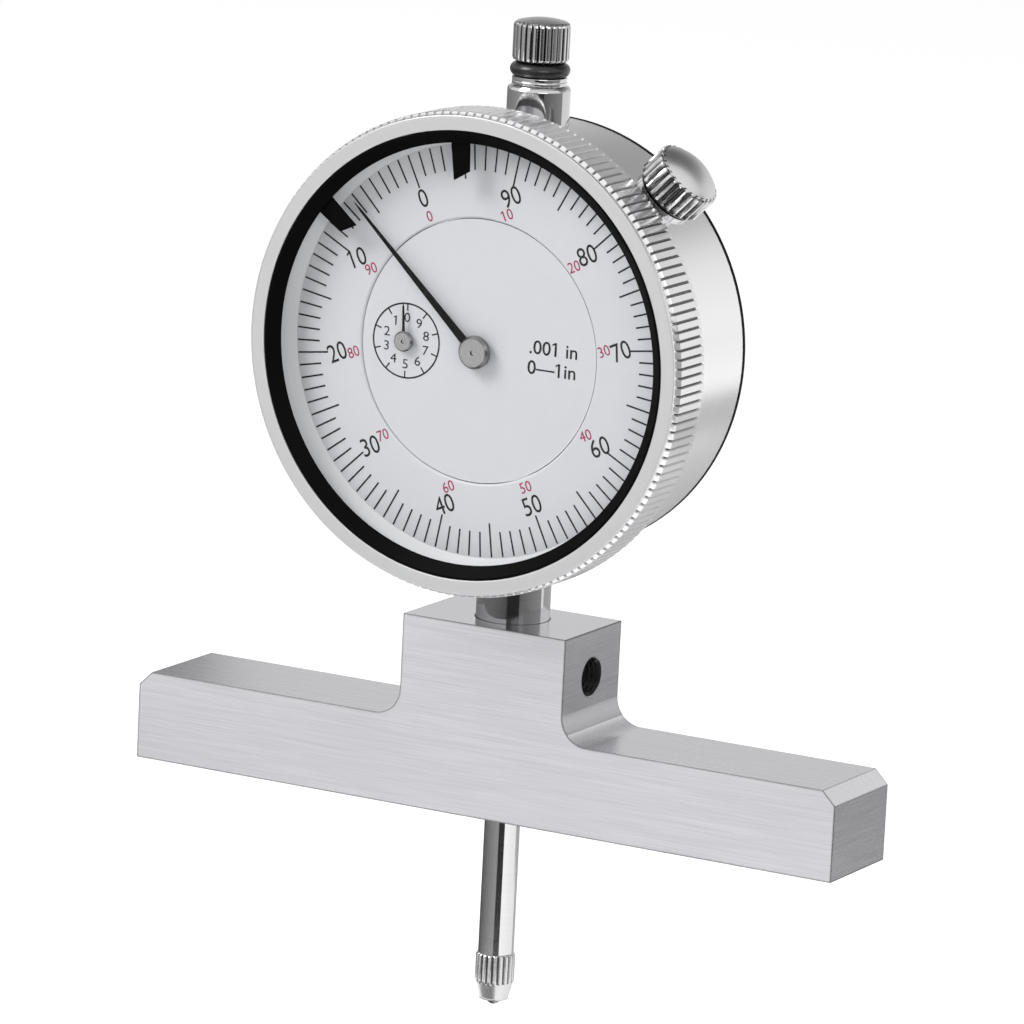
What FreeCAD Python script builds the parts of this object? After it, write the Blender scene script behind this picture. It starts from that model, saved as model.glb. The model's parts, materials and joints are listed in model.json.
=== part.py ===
import FreeCAD, Part
import os
from math import acos, atan2, cos, pi, radians, sin, sqrt, tan
from FreeCAD import Vector

# Dial depth gauge: a T-shaped ground base with a dial indicator clamped in its block.
# All lengths are in millimetres. +Z is up and the dial faces -Y.
# The origin is where the spindle axis crosses the reference face under the base.
# The spindle is fully extended, so the contact ball hangs below the base.

# Base
base_length = 101.6
base_depth = 15.0
arm_height = 11.6
block_width = 23.6
block_height = 25.1
arm_end_chamfer = 1.8
block_fillet = 3.6
edge_find = 0.15
clamp_hole_r = 2.4
clamp_hole_drop = 6.1
clamp_hole_height = block_height - clamp_hole_drop
clamp_hole_mouth = 0.2
clamp_screw_length = 3.6
clamp_screw_socket = 2.5
clamp_screw_socket_depth = 2.0
clamp_screw_point_cone = 0.6
socket_side_count = 6

# Contact point, measured down from the reference face with the spindle fully out
travel = 26.3
tip_recess = 0.1
tip_drop = travel - tip_recess
contact_length = 7.0
contact_top_drop = tip_drop - contact_length
contact_nose_length = 2.9
contact_knurl_end_drop = tip_drop - contact_nose_length
ball_showing = 0.8
contact_nose_drop = tip_drop - ball_showing
contact_r = 2.55
contact_nose_r = 1.9
contact_top_chamfer = 0.3
contact_groove_depth = 0.22
contact_groove_slope_share = 0.5
contact_groove_count = 20
contact_stud_r = 1.2
contact_stud_length = 4.0
ball_r = 1.1
ball_socket_gap = 0.01

# Stem and spindle
spindle_r = 2.3
spindle_stud_r = 1.5
spindle_stud_length = 6.0
stem_r = 4.7625
contact_clearance = 0.6
stem_bottom = contact_length + contact_clearance
stem_bore_gap = 0.3
stem_bore_r = spindle_r + stem_bore_gap
stem_end_chamfer = 0.4
stem_showing = 8.4
bush_wall = 0.9
bush_outer_r = spindle_r + bush_wall
bush_length = 9.0

# Case, measured from the spindle axis towards the front or the back
case_r = 27.9
case_wall = 1.6
case_inner_r = case_r - case_wall
dial_height = block_height + stem_showing + case_r
case_back = 6.0
spigot_step = 0.7
spigot_r = case_r - spigot_step

# Back cover
gasket_thickness = 0.3
gasket_width = 2.6
gasket_inset = 0.05
cover_step = 0.6
cover_r = case_r - cover_step
cover_thickness = 1.1
cover_back = case_back + gasket_thickness + cover_thickness
cover_edge = 0.5
cover_boss_r = 1.9
cover_boss_inset = 1.8
cover_boss_ring_r = case_inner_r - cover_boss_inset
cover_boss_depth = 4.0
cover_screw_angles = (30.0, 150.0, 210.0, 330.0)
cover_screw_r = 0.7
cover_screw_head_r = 1.35
cover_screw_head = 0.6
cover_screw_length = 3.4

# Bosses that carry the stem and the upper bushing
stem_boss_r = 6.6
stem_boss_depth = 3.4
stem_boss_setback = 0.8
stem_boss_back = case_back - stem_boss_setback
stem_top = dial_height - case_inner_r + stem_boss_depth
bushing_boss_r = 5.6
bushing_boss_depth = 3.5
bushing_bottom = dial_height + case_inner_r - bushing_boss_depth
bushing_r = 4.03
bushing_showing = 4.6
bushing_top = dial_height + case_r + bushing_showing
bushing_chamfer = 0.5

# Stop collar, bump ring and lifting knob
shoulder_gap = 0.1
spindle_shoulder = bushing_top + shoulder_gap
collar_r = 3.5
collar_height = 1.0
bump_ring_r = 3.83
bump_ring_height = 1.8
bump_ring_edge = 0.5
knob_neck_r = 1.98
knob_r = 3.62
knob_root_r = 3.3
knob_height = 4.6
knob_dome = 1.1
knob_ridge_count = 26
knob_roof = 1.0

# Gears: their teeth, then their layers from the spindle towards the dial
rack_pitch = 0.635
rack_module = rack_pitch / pi
rack_tip_depth = 0.35
rack_line_depth = 0.55
rack_root_depth = 0.77
rack_tip_x = spindle_r - rack_tip_depth
rack_line_x = spindle_r - rack_line_depth
rack_root_x = spindle_r - rack_root_depth
rack_margin = 1.5
rack_backlash = 0.06
rack_half_width = 1.1
rack_foot = 0.3
pinion_teeth = 20
wheel_module = 0.19
drive_teeth = 50
centre_teeth = 10
take_up_teeth = 100
wheel_backlash = 0.06
pressure_angle = 20.0
pinion_addendum_share = 0.85
wheel_addendum_share = 0.6
dedendum_share = 1.15
rack_pinion_half_width = 1.0
wheel_thickness = 0.5
arbor_r = 0.55
pivot_r = 0.35
pivot_clearance = 0.03
plate_thickness = 1.0
mid_plate_thickness = 0.8
rear_plate_front = 2.9
rear_plate_back = rear_plate_front + plate_thickness
mid_plate_back = 3.1
mid_plate_front = mid_plate_back + mid_plate_thickness
centre_pinion_gap = 0.2
centre_pinion_back = mid_plate_front + centre_pinion_gap
drive_gear_gap = 0.35
drive_gear_back = mid_plate_front + drive_gear_gap
cock_gap = 0.25
cock_back = drive_gear_back + wheel_thickness + cock_gap
cock_thickness = 0.5
cock_width = 3.2
cock_reach = 7.4
cock_foot_length = 3.0
cock_screw_length = 2.2
cock_screw_head = 0.3
take_up_gap = 0.1
take_up_gear_back = cock_back + cock_thickness + cock_screw_head + take_up_gap
centre_pinion_margin = 0.3
centre_pinion_front = take_up_gear_back + wheel_thickness + centre_pinion_margin
hairspring_gap = 0.35
hairspring_back = take_up_gear_back + wheel_thickness + hairspring_gap
hairspring_width = 0.35
front_plate_gap = 0.5
front_plate_back = hairspring_back + hairspring_width + front_plate_gap
front_plate_front = front_plate_back + plate_thickness

# Places of the gears
dial_centre = Vector(0, 0, dial_height)
pinion_x = rack_line_x + rack_module * pinion_teeth / 2
drive_distance = wheel_module * (drive_teeth + centre_teeth) / 2
pinion_rise = sqrt(drive_distance ** 2 - pinion_x ** 2)
pinion_centre = dial_centre + Vector(-pinion_x, 0, pinion_rise)
counter_x = wheel_module * (centre_teeth + take_up_teeth) / 2
counter_centre = dial_centre + Vector(-counter_x, 0, 0)
drive_direction = atan2(-pinion_rise, pinion_x)

# Plates of the movement, their pillars, posts and screws
front_plate_margin = 4.3
front_plate_r = case_inner_r - front_plate_margin
rear_plate_margin = 4.7
rear_plate_r = case_inner_r - rear_plate_margin
mid_plate_margin = 5.5
mid_plate_r = case_inner_r - mid_plate_margin
pillar_r = 1.5
pillar_inset = 3.0
pillar_ring_r = front_plate_r - pillar_inset
pillar_angles = (15.0, 120.0, 240.0)
pillar_stud_r = 0.5
pillar_stud_length = 1.8
screw_r = 0.5
screw_length = 2.6
screw_head_r = 1.2
screw_head = 0.6
post_r = 1.8
post_inset = 2.5
post_length = 2.3
post_ring_r = front_plate_r - post_inset
post_angles = (90.0, 210.0, 330.0)
post_screw_depth = 1.9

# Layers of the dial, from the front plate to the bezel's front
web_back = front_plate_front + post_length
web_thickness = 1.0
web_front = web_back + web_thickness
web_gap = 4.55
web_opening_r = counter_x + web_gap
scale_to_web = 0.45
scale_back = web_front + scale_to_web
scale_thickness = 0.45
scale_front = scale_back + scale_thickness
wall_ring_depth = 1.7
crystal_back = scale_front + wall_ring_depth
crystal_thickness = 1.0
crystal_front = crystal_back + crystal_thickness
hand_slot = 0.5
ring_back = crystal_front + hand_slot
ring_lip = 0.3
ring_lip_front = ring_back + ring_lip
ring_depth = 1.5
bezel_front = ring_back + ring_depth
ring_setback = 0.1
ring_front = bezel_front - ring_setback

# Bezel
shoulder_setback = 2.9
shoulder_front = web_front - shoulder_setback
bezel_gap = 0.1
bezel_back = shoulder_front + bezel_gap
bezel_lip_thickness = 0.8
bezel_knurl_back = bezel_back + bezel_lip_thickness
bezel_bore_step = 1.22
bezel_bore_r = spigot_r + bezel_bore_step
bezel_land_width = 1.88
bezel_land_r = bezel_bore_r + bezel_land_width
bezel_land_depth = 0.6
knurl_rise = 0.45
bezel_crest_r = bezel_land_r + knurl_rise
knurl_depth = 0.55
bezel_root_r = bezel_crest_r - knurl_depth
bezel_lip_step = 0.7
bezel_lip_r = bezel_root_r - bezel_lip_step
bezel_ridge_count = 168
bezel_edge = 0.15
seat_clearance = 0.05
skirt_clearance = 0.08

# Rings that the bezel carries, and the centre dial inside them
ring_width = 1.71
ring_inner_r = bezel_bore_r - ring_width
wall_ring_width = 1.67
wall_ring_inner_r = bezel_bore_r - wall_ring_width
scale_width = 11.47
scale_inner_r = bezel_bore_r - scale_width
centre_dial_gap = 0.2
centre_dial_r = scale_inner_r - centre_dial_gap
centre_dial_thickness = 0.5
centre_dial_recess = 0.25
dial_foot_r = 0.6
dial_foot_inset = 4.25
dial_foot_ring_r = centre_dial_r - dial_foot_inset
dial_foot_angles = (35.0, 250.0)

# Retaining wire between the bezel and the case
wire_r = 0.36
wire_setback = 1.3
wire_y = bezel_back + wire_setback
wire_groove_clearance = 0.06
wire_split = 3.0

# Bezel clamp: boss on the case, washer that reaches over the bezel lip, thumb screw
clamp_angle = 45.0
clamp_setback = 3.6
clamp_y = bezel_back - clamp_setback
clamp_boss_r = 3.0
clamp_boss_top = bezel_lip_r
clamp_washer_r = 4.02
clamp_washer_gap = 0.3
clamp_washer_bottom = clamp_boss_top + clamp_washer_gap
clamp_washer_thickness = 0.85
clamp_head_gap = 0.1
clamp_head_r = 4.65
clamp_head_root_r = 4.25
clamp_head_height = 4.3
clamp_head_foot = 0.35
clamp_dome = 1.5
clamp_ridge_count = 28
clamp_shank_r = 1.5
clamp_shank_reach = 2.9
clamp_shank_end = case_inner_r - clamp_shank_reach
clamp_nut_r = 2.6
clamp_nut_height = 1.6
clamp_nut_gap = 0.35

# Pointers
pointer_hub_gap = 0.25
pointer_hub_front = crystal_back - pointer_hub_gap
pointer_drop = 0.3
pointer_front = pointer_hub_front - pointer_drop
pointer_thickness = 0.15
pointer_tip_gap = 1.85
pointer_length = wall_ring_inner_r - pointer_tip_gap
pointer_root_width = 1.15
pointer_tip_width = 0.3
pointer_taper_share = 0.93
pointer_angle = -47.0
pointer_hub_r = 2.1
pointer_hub_depth = 0.95
pointer_hub_hole_r = 0.4
pointer_hub_edge = 0.12
arbor_nose_r = 0.5
nose_below_hub = 0.2
counter_gap = 0.2
counter_hub_front = pointer_front - pointer_thickness - counter_gap
counter_drop = 0.3
counter_front = counter_hub_front - counter_drop
counter_thickness = 0.12
counter_length = 4.75
counter_root_width = 0.35
counter_tip_width = 0.22
counter_angle = -3.5
counter_hub_r = 1.3
counter_hub_depth = 0.5
counter_hub_hole_r = 0.3
dial_hole_r = 0.8

# Tolerance hands
hand_thickness = 0.36
hand_rim_clearance = 0.08
hand_outer_r = bezel_bore_r - hand_rim_clearance
hand_rim_width = 1.34
hand_rim_inner_r = hand_outer_r - hand_rim_width
hand_reach = 6.34
hand_inner_r = hand_outer_r - hand_reach
hand_slant = 1.1
hand_half_angle = 2.75
hand_rim_half_angle = 7.0
left_hand_angle = -52.0
right_hand_angle = -4.7

# Guide rail and its pin, return spring and hairspring
rail_near = 4.2
rail_far = 5.8
rail_front = 1.9
rail_overrun = 2.2
rail_slot_end = 1.2
rail_top_gap = 4.2
rail_high = dial_height + case_inner_r - rail_top_gap
rail_low = rail_high - travel - 2 * rail_overrun
guide_pin_height = rail_low + rail_overrun
guide_pin_r = 0.7
guide_pin_end = 9.0
guide_pin_groove = 0.15
guide_slot_clearance = 0.04
spring_x = 8.0
spring_post_inset = 2.6
spring_post_height = dial_height - rear_plate_r + spring_post_inset
spring_post_r = 0.7
spring_post_front = 1.2
spring_coil_r = 1.3
spring_wire_r = 0.2
spring_hook_gap = 0.45
hairspring_thickness = 0.09
hairspring_turn_count = 4
hairspring_inner_r = 1.35
hairspring_step = 1.05
collet_r = 1.2
stud_r = 0.55

# Shared clearances and cuts
fit = 0.02
running = 0.05
overrun = 2.0


def turned_about_y(profile, centre=Vector(0, 0, 0)):
    """Solid turned about an axis along Y: profile holds (radius, y) corners."""
    corners = [Vector(r, y, 0) for r, y in profile]
    face = Part.Face(Part.makePolygon(corners + corners[:1]))
    solid = face.revolve(Vector(0, 0, 0), Vector(0, 1, 0), 360)
    solid.translate(centre)
    return solid


def turned_about_z(profile):
    """Solid turned about the spindle axis: profile holds (radius, z) corners."""
    corners = [Vector(r, 0, z) for r, z in profile]
    face = Part.Face(Part.makePolygon(corners + corners[:1]))
    return face.revolve(Vector(0, 0, 0), Vector(0, 0, 1), 360)


def rod_y(r, front, back, centre=Vector(0, 0, 0)):
    """Round rod along Y from the distance front before the axis plane to y = back."""
    return Part.makeCylinder(r, front + back, centre + Vector(0, -front, 0), Vector(0, 1, 0))


def rod_z(r, low, high, x=0, y=0):
    return Part.makeCylinder(r, high - low, Vector(x, y, low), Vector(0, 0, 1))


def rod_x(r, start, end, y=0, z=0):
    return Part.makeCylinder(r, end - start, Vector(start, y, z), Vector(1, 0, 0))


def slab(corners, front, back):
    """Flat plate with (x, z) corners, from y = -front to y = back."""
    points = [Vector(x, -front, z) for x, z in corners]
    face = Part.Face(Part.makePolygon(points + points[:1]))
    return face.extrude(Vector(0, front + back, 0))


def block(low, high):
    size = Vector(*high) - Vector(*low)
    return Part.makeBox(size.x, size.y, size.z, Vector(*low))


def around(centre, radius, angle):
    """(x, z) of the place at radius from centre, angle in degrees from +X towards +Z."""
    return (centre.x + radius * cos(radians(angle)), centre.z + radius * sin(radians(angle)))


def group(solids):
    return Part.makeCompound(solids)


def save(node, shape):
    if shape.ShapeType == "Compound" and len(shape.Solids) == 1:
        shape = shape.Solids[0]
    if not shape.isValid():
        print("not valid:", node)
    shape.exportStep("parts/" + node + ".step")
    print(node, len(shape.Solids), "solid", round(shape.Volume, 3))


def ridge_corners(crest_r, root_r, count):
    """Corners, as (angle, radius), of a ring of V-shaped ridges."""
    corners = []
    for k in range(count):
        corners.append((2 * pi * k / count, crest_r))
        corners.append((2 * pi * (k + 1 / 2) / count, root_r))
    return corners


def knurl_z(crest_r, root_r, count, low, high):
    """Straight-knurled disc about the Z axis."""
    points = [Vector(r * cos(a), r * sin(a), low) for a, r in ridge_corners(crest_r, root_r, count)]
    return Part.Face(Part.makePolygon(points + points[:1])).extrude(Vector(0, 0, high - low))


def involute(angle):
    return tan(angle) - angle


def gear(centre, teeth, module, phase, addendum_share, backlash, front, back):
    """Spur gear about an axis along Y with one tooth centred at the angle phase (radians)."""
    pitch_r = module * teeth / 2
    pressure = radians(pressure_angle)
    base_r = pitch_r * cos(pressure)
    tip_r = pitch_r + addendum_share * module
    root_r = pitch_r - dedendum_share * module
    half_at_pitch = (pi * module / 2 - backlash / 2) / (2 * pitch_r)

    def half_angle(radius):
        reach = acos(min(1, base_r / radius))
        return half_at_pitch + involute(pressure) - involute(reach)

    flank = (root_r, pitch_r, tip_r) if teeth <= pinion_teeth else (root_r, tip_r)
    corners = []
    for k in range(teeth):
        middle = phase + 2 * pi * k / teeth
        rising = [(middle - half_angle(r), r) for r in flank]
        falling = [(middle + half_angle(r), r) for r in reversed(flank)]
        for angle, radius in rising + falling:
            corners.append((centre.x + radius * cos(angle), centre.z + radius * sin(angle)))
    return slab(corners, front, -back)


def meshing_phase(phase, direction, teeth, mate_teeth):
    """Phase of a mating gear, which lies in the given direction, with a gap facing the tooth."""
    return direction + pi + pi / mate_teeth - (phase - direction) * teeth / mate_teeth


def screw_facing(direction, place, r, length, head_r, head):
    """Cheese-head screw whose head faces the direction, with the head's underside at place."""
    screw = turned_about_z([(0, -length), (r, -length), (r, 0), (head_r, 0), (head_r, head), (0, head)])
    screw.Placement = FreeCAD.Placement(place, FreeCAD.Rotation(Vector(0, 0, 1), direction))
    return screw


def radial(shape):
    """Turns a shape built along +Z onto the bezel clamp's axis."""
    shape.Placement = FreeCAD.Placement(
        dial_centre + Vector(0, -clamp_y, 0), FreeCAD.Rotation(Vector(0, 1, 0), clamp_angle))
    return shape


# Base block and its clamp screw

def base_block():
    half = base_length / 2
    side = block_width / 2
    corners = [(-half, 0), (half, 0), (half, arm_height - arm_end_chamfer),
               (half - arm_end_chamfer, arm_height), (side, arm_height), (side, block_height),
               (-side, block_height), (-side, arm_height),
               (-half + arm_end_chamfer, arm_height), (-half, arm_height - arm_end_chamfer)]
    body = slab(corners, base_depth / 2, base_depth / 2)
    inner = [e for e in body.Edges
             if all(abs(abs(v.X) - side) + abs(v.Z - arm_height) < edge_find for v in e.Vertexes)]
    body = body.makeFillet(block_fillet, inner)
    bore = rod_z(stem_r + fit, -overrun, block_height + overrun)
    hole = rod_x(clamp_hole_r, 0, side + overrun, 0, clamp_hole_height)
    mouth = Part.makeCone(clamp_hole_r, clamp_hole_r + clamp_hole_mouth, clamp_hole_mouth,
                          Vector(side - clamp_hole_mouth, 0, clamp_hole_height), Vector(1, 0, 0))
    return body.cut([bore, hole, mouth]).removeSplitter()


def stem_clamp_screw():
    start = stem_r + fit
    r = clamp_hole_r - fit
    tip = Part.makeCone(r - clamp_screw_point_cone, r, clamp_screw_point_cone,
                        Vector(start, 0, clamp_hole_height), Vector(1, 0, 0))
    barrel = rod_x(r, start + clamp_screw_point_cone, start + clamp_screw_length, 0, clamp_hole_height)
    end = start + clamp_screw_length
    corner_r = clamp_screw_socket / (2 * cos(pi / socket_side_count))
    corners = [2 * pi * k / socket_side_count for k in range(socket_side_count)]
    points = [Vector(end - clamp_screw_socket_depth, corner_r * cos(a), clamp_hole_height + corner_r * sin(a))
              for a in corners]
    hexagon = Part.Face(Part.makePolygon(points + points[:1]))
    socket = hexagon.extrude(Vector(clamp_screw_socket_depth + overrun, 0, 0))
    return tip.fuse(barrel).removeSplitter().cut(socket)


# Stem, bushes and upper bushing

def stem():
    tube = turned_about_z([
        (stem_bore_r, stem_bottom), (stem_r - stem_end_chamfer, stem_bottom),
        (stem_r, stem_bottom + stem_end_chamfer), (stem_r, stem_top), (stem_bore_r, stem_top)])
    seats = [rod_z(bush_outer_r + fit, stem_bottom - overrun, stem_bottom + bush_length),
             rod_z(bush_outer_r + fit, stem_top - bush_length, stem_top + overrun)]
    return tube.cut(seats)


def spindle_bushes():
    sleeves = []
    for low in (stem_bottom, stem_top - bush_length):
        sleeve = rod_z(bush_outer_r, low, low + bush_length)
        sleeves.append(sleeve.cut(rod_z(spindle_r + running, low - overrun, low + bush_length + overrun)))
    return group(sleeves)


def upper_bushing():
    bore_r = spindle_r + running
    return turned_about_z([
        (bore_r, bushing_bottom), (bushing_r, bushing_bottom), (bushing_r, bushing_top - bushing_chamfer),
        (bushing_r - bushing_chamfer, bushing_top), (bore_r, bushing_top)])


# Case, gasket, back cover and its screws

def cover_screw_places():
    return [around(dial_centre, cover_boss_ring_r, a) for a in cover_screw_angles]


def post_places():
    return [around(dial_centre, post_ring_r, a) for a in post_angles]


def case():
    groove_r = spigot_r - wire_r - wire_groove_clearance
    groove_half = wire_r + wire_groove_clearance
    shell = turned_about_y([
        (web_opening_r, -web_front), (spigot_r, -web_front), (spigot_r, -wire_y - groove_half),
        (groove_r, -wire_y - groove_half), (groove_r, -wire_y + groove_half), (spigot_r, -wire_y + groove_half),
        (spigot_r, -shoulder_front), (case_r, -shoulder_front), (case_r, case_back), (case_inner_r, case_back),
        (case_inner_r, -web_back), (web_opening_r, -web_back)], dial_centre)
    inside = rod_y(case_inner_r + case_wall / 2, web_back, stem_boss_back, dial_centre)
    lower = rod_z(stem_boss_r, dial_height - case_r, stem_top).common(inside)
    upper = rod_z(bushing_boss_r, bushing_bottom, dial_height + case_r).common(inside)
    bosses = [lower, upper]
    ring = rod_y(case_inner_r + case_wall / 2, web_back, case_back, dial_centre)
    for x, z in cover_screw_places():
        boss = rod_y(cover_boss_r, cover_boss_depth - case_back, case_back, Vector(x, 0, z))
        bosses.append(boss.common(ring))
    for x, z in post_places():
        bosses.append(rod_y(post_r, web_back, -front_plate_front, Vector(x, 0, z)))
    body = shell.fuse(bosses).removeSplitter()
    cuts = [rod_z(stem_r + fit, dial_height - case_r - overrun, stem_top + overrun),
            rod_z(bushing_r + fit, bushing_bottom - overrun, dial_height + case_r + overrun),
            radial(rod_z(clamp_shank_r + running, case_inner_r - overrun, case_r + overrun))]
    for x, z in cover_screw_places():
        cuts.append(rod_y(cover_screw_r + fit, running + cover_screw_length + cover_screw_head - cover_back,
                          case_back + overrun, Vector(x, 0, z)))
    for x, z in post_places():
        cuts.append(rod_y(screw_r + fit, front_plate_front + post_screw_depth, -front_plate_front + overrun,
                          Vector(x, 0, z)))
    return body.cut(cuts)


def back_gasket():
    outer = case_r - gasket_inset
    ring = turned_about_y([
        (outer - gasket_width, case_back), (outer, case_back), (outer, case_back + gasket_thickness),
        (outer - gasket_width, case_back + gasket_thickness)], dial_centre)
    holes = [rod_y(cover_screw_r + fit, -case_back + overrun, case_back + overrun, Vector(x, 0, z))
             for x, z in cover_screw_places()]
    return ring.cut(holes)


def back_cover():
    front = case_back + gasket_thickness
    disc = turned_about_y([
        (0, front), (cover_r, front), (cover_r, cover_back - cover_edge), (cover_r - cover_edge, cover_back),
        (0, cover_back)], dial_centre)
    cuts = []
    for x, z in cover_screw_places():
        cuts.append(rod_y(cover_screw_r + fit, overrun - front, cover_back + overrun, Vector(x, 0, z)))
        cuts.append(rod_y(cover_screw_head_r + running, cover_screw_head - cover_back,
                          cover_back + overrun, Vector(x, 0, z)))
    return disc.cut(cuts)


def back_cover_screws():
    return group([screw_facing(Vector(0, 1, 0), Vector(x, cover_back - cover_screw_head, z), cover_screw_r,
                               cover_screw_length, cover_screw_head_r, cover_screw_head)
                  for x, z in cover_screw_places()])


# Movement plates, pillars and screws

def pillar_places():
    return [around(dial_centre, pillar_ring_r, a) for a in pillar_angles]


def drilled(plate, holes, front, back):
    """Cuts round holes, given as (x, z, radius), through a plate."""
    return plate.cut([rod_y(r, front + overrun, back + overrun, Vector(x, 0, z)) for x, z, r in holes])


def rear_plate():
    plate = rod_y(rear_plate_r, -rear_plate_front, rear_plate_back, dial_centre)
    holes = [(x, z, pillar_stud_r + fit) for x, z in pillar_places()]
    holes.append((pinion_centre.x, pinion_centre.z, pivot_r + pivot_clearance))
    return drilled(plate, holes, -rear_plate_front, rear_plate_back)


def mid_plate():
    plate = rod_y(mid_plate_r, mid_plate_front, -mid_plate_back, dial_centre)
    holes = [(x, z, pillar_stud_r + fit) for x, z in pillar_places()]
    holes += [(c.x, c.z, pivot_r + pivot_clearance) for c in (dial_centre, counter_centre)]
    holes.append((pinion_centre.x, pinion_centre.z, arbor_r + running))
    holes.append((pinion_centre.x, pinion_centre.z + cock_reach, screw_r + fit))
    return drilled(plate, holes, mid_plate_front, -mid_plate_back)


def front_plate():
    plate = rod_y(front_plate_r, front_plate_front, -front_plate_back, dial_centre)
    holes = [(x, z, screw_r + fit) for x, z in pillar_places() + post_places()]
    holes += [(c.x, c.z, arbor_nose_r + pivot_clearance) for c in (dial_centre, counter_centre)]
    return drilled(plate, holes, front_plate_front, -front_plate_back)


def rear_pillars():
    """Pillars riveted into the rear plate, each bored for the stud of the front pillar."""
    pillars = []
    for x, z in pillar_places():
        place = Vector(x, 0, z)
        pillar = rod_y(pillar_r, mid_plate_back, rear_plate_front, place)
        rivet = rod_y(pillar_stud_r, -rear_plate_front, rear_plate_back, place)
        bore = rod_y(pillar_stud_r + fit, mid_plate_back + overrun,
                     pillar_stud_length + running - mid_plate_back, place)
        pillars.append(pillar.fuse(rivet).cut(bore))
    return group(pillars)


def front_pillars():
    pillars = []
    for x, z in pillar_places():
        place = Vector(x, 0, z)
        pillar = rod_y(pillar_r, front_plate_back, -mid_plate_front, place)
        stud = rod_y(pillar_stud_r, mid_plate_front, pillar_stud_length - mid_plate_back, place)
        screw_hole = rod_y(screw_r + fit, front_plate_back + overrun,
                           screw_length + running - front_plate_front, place)
        pillars.append(pillar.fuse(stud).cut(screw_hole))
    return group(pillars)


def movement_screw(direction, place):
    return screw_facing(direction, place, screw_r, screw_length, screw_head_r, screw_head)


def plate_screws():
    return group([movement_screw(Vector(0, -1, 0), Vector(x, -front_plate_front, z))
                  for x, z in pillar_places()])


def movement_mount_screws():
    return group([movement_screw(Vector(0, 1, 0), Vector(x, -front_plate_back, z))
                  for x, z in post_places()])


def pinion_cock():
    """Bridge over the drive gear: a strip with its foot on the middle plate."""
    half = cock_width / 2
    low = pinion_centre.z - half
    high = pinion_centre.z + cock_reach + half
    strip = slab([(pinion_centre.x - half, low), (pinion_centre.x + half, low), (pinion_centre.x + half, high),
                  (pinion_centre.x - half, high)], cock_back + cock_thickness, -cock_back)
    foot_low = high - cock_foot_length
    foot = slab([(pinion_centre.x - half, foot_low), (pinion_centre.x + half, foot_low),
                 (pinion_centre.x + half, high), (pinion_centre.x - half, high)],
                cock_back + cock_thickness, -mid_plate_front)
    cock = strip.fuse(foot).removeSplitter()
    holes = [(pinion_centre.x, pinion_centre.z, pivot_r + pivot_clearance),
             (pinion_centre.x, pinion_centre.z + cock_reach, screw_r + fit)]
    return drilled(cock, holes, cock_back + cock_thickness, 0)


def cock_screw():
    place = Vector(pinion_centre.x, -cock_back - cock_thickness, pinion_centre.z + cock_reach)
    return screw_facing(Vector(0, -1, 0), place, screw_r, cock_screw_length, screw_head_r, cock_screw_head)


# Guide rail, return spring and hairspring

def guide_rail():
    """Slotted rail that keeps the spindle from turning: the guide pin runs in its slot."""
    rail = block((rail_near, -rail_front, rail_low), (rail_far, rear_plate_front, rail_high))
    half = guide_pin_r + guide_slot_clearance
    slot = block((rail_near - overrun, -half, rail_low + rail_slot_end),
                 (rail_far + overrun, half, rail_high - rail_slot_end))
    return rail.cut(slot)


def spring_post():
    return rod_y(spring_post_r, spring_post_front, rear_plate_front, Vector(spring_x, 0, spring_post_height))


def return_spring():
    """Extension spring between the post and the guide pin, as the sleeve that its close turns fill."""
    low = spring_post_height + spring_post_r + spring_hook_gap
    high = guide_pin_height - guide_pin_r - spring_hook_gap
    outer = rod_z(spring_coil_r + spring_wire_r, low, high, spring_x)
    return outer.cut(rod_z(spring_coil_r - spring_wire_r, low - overrun, high + overrun, spring_x))


def spiral_radius(half_turn):
    return hairspring_inner_r + hairspring_step * half_turn / 2


def hairspring_end():
    reach = spiral_radius(2 * hairspring_turn_count)
    return (counter_centre.x + reach + stud_r + running, counter_centre.z)


def hairspring_side(offset):
    """One side of the flat spiral: half circles whose radius grows by half the step."""
    arcs = []
    for k in range(2 * hairspring_turn_count):
        start_r = spiral_radius(k) + offset
        end_r = spiral_radius(k + 1) + offset
        sign = 1 if k % 2 == 0 else -1
        start = Vector(sign * start_r, 0, 0)
        end = Vector(-sign * end_r, 0, 0)
        middle = Vector((start.x + end.x) / 2, 0, sign * (start_r + end_r) / 2)
        arcs.append(Part.Arc(start, middle, end).toShape())
    return arcs


def hairspring():
    half = hairspring_thickness / 2
    inner = hairspring_side(-half)
    outer = hairspring_side(half)
    caps = []
    for k in (0, 2 * hairspring_turn_count):
        sign = 1 if k % 2 == 0 else -1
        ends = [Vector(sign * (spiral_radius(k) + side), 0, 0) for side in (-half, half)]
        caps.append(Part.makeLine(*ends))
    face = Part.Face(Part.Wire(Part.__sortEdges__(inner + outer + caps)))
    ribbon = face.extrude(Vector(0, -hairspring_width, 0))
    ribbon.translate(counter_centre + Vector(0, -hairspring_back, 0))
    return ribbon


def hairspring_stud():
    x, z = hairspring_end()
    return rod_y(stud_r, front_plate_back, -hairspring_back, Vector(x, 0, z))


# Spindle and what it carries

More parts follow.
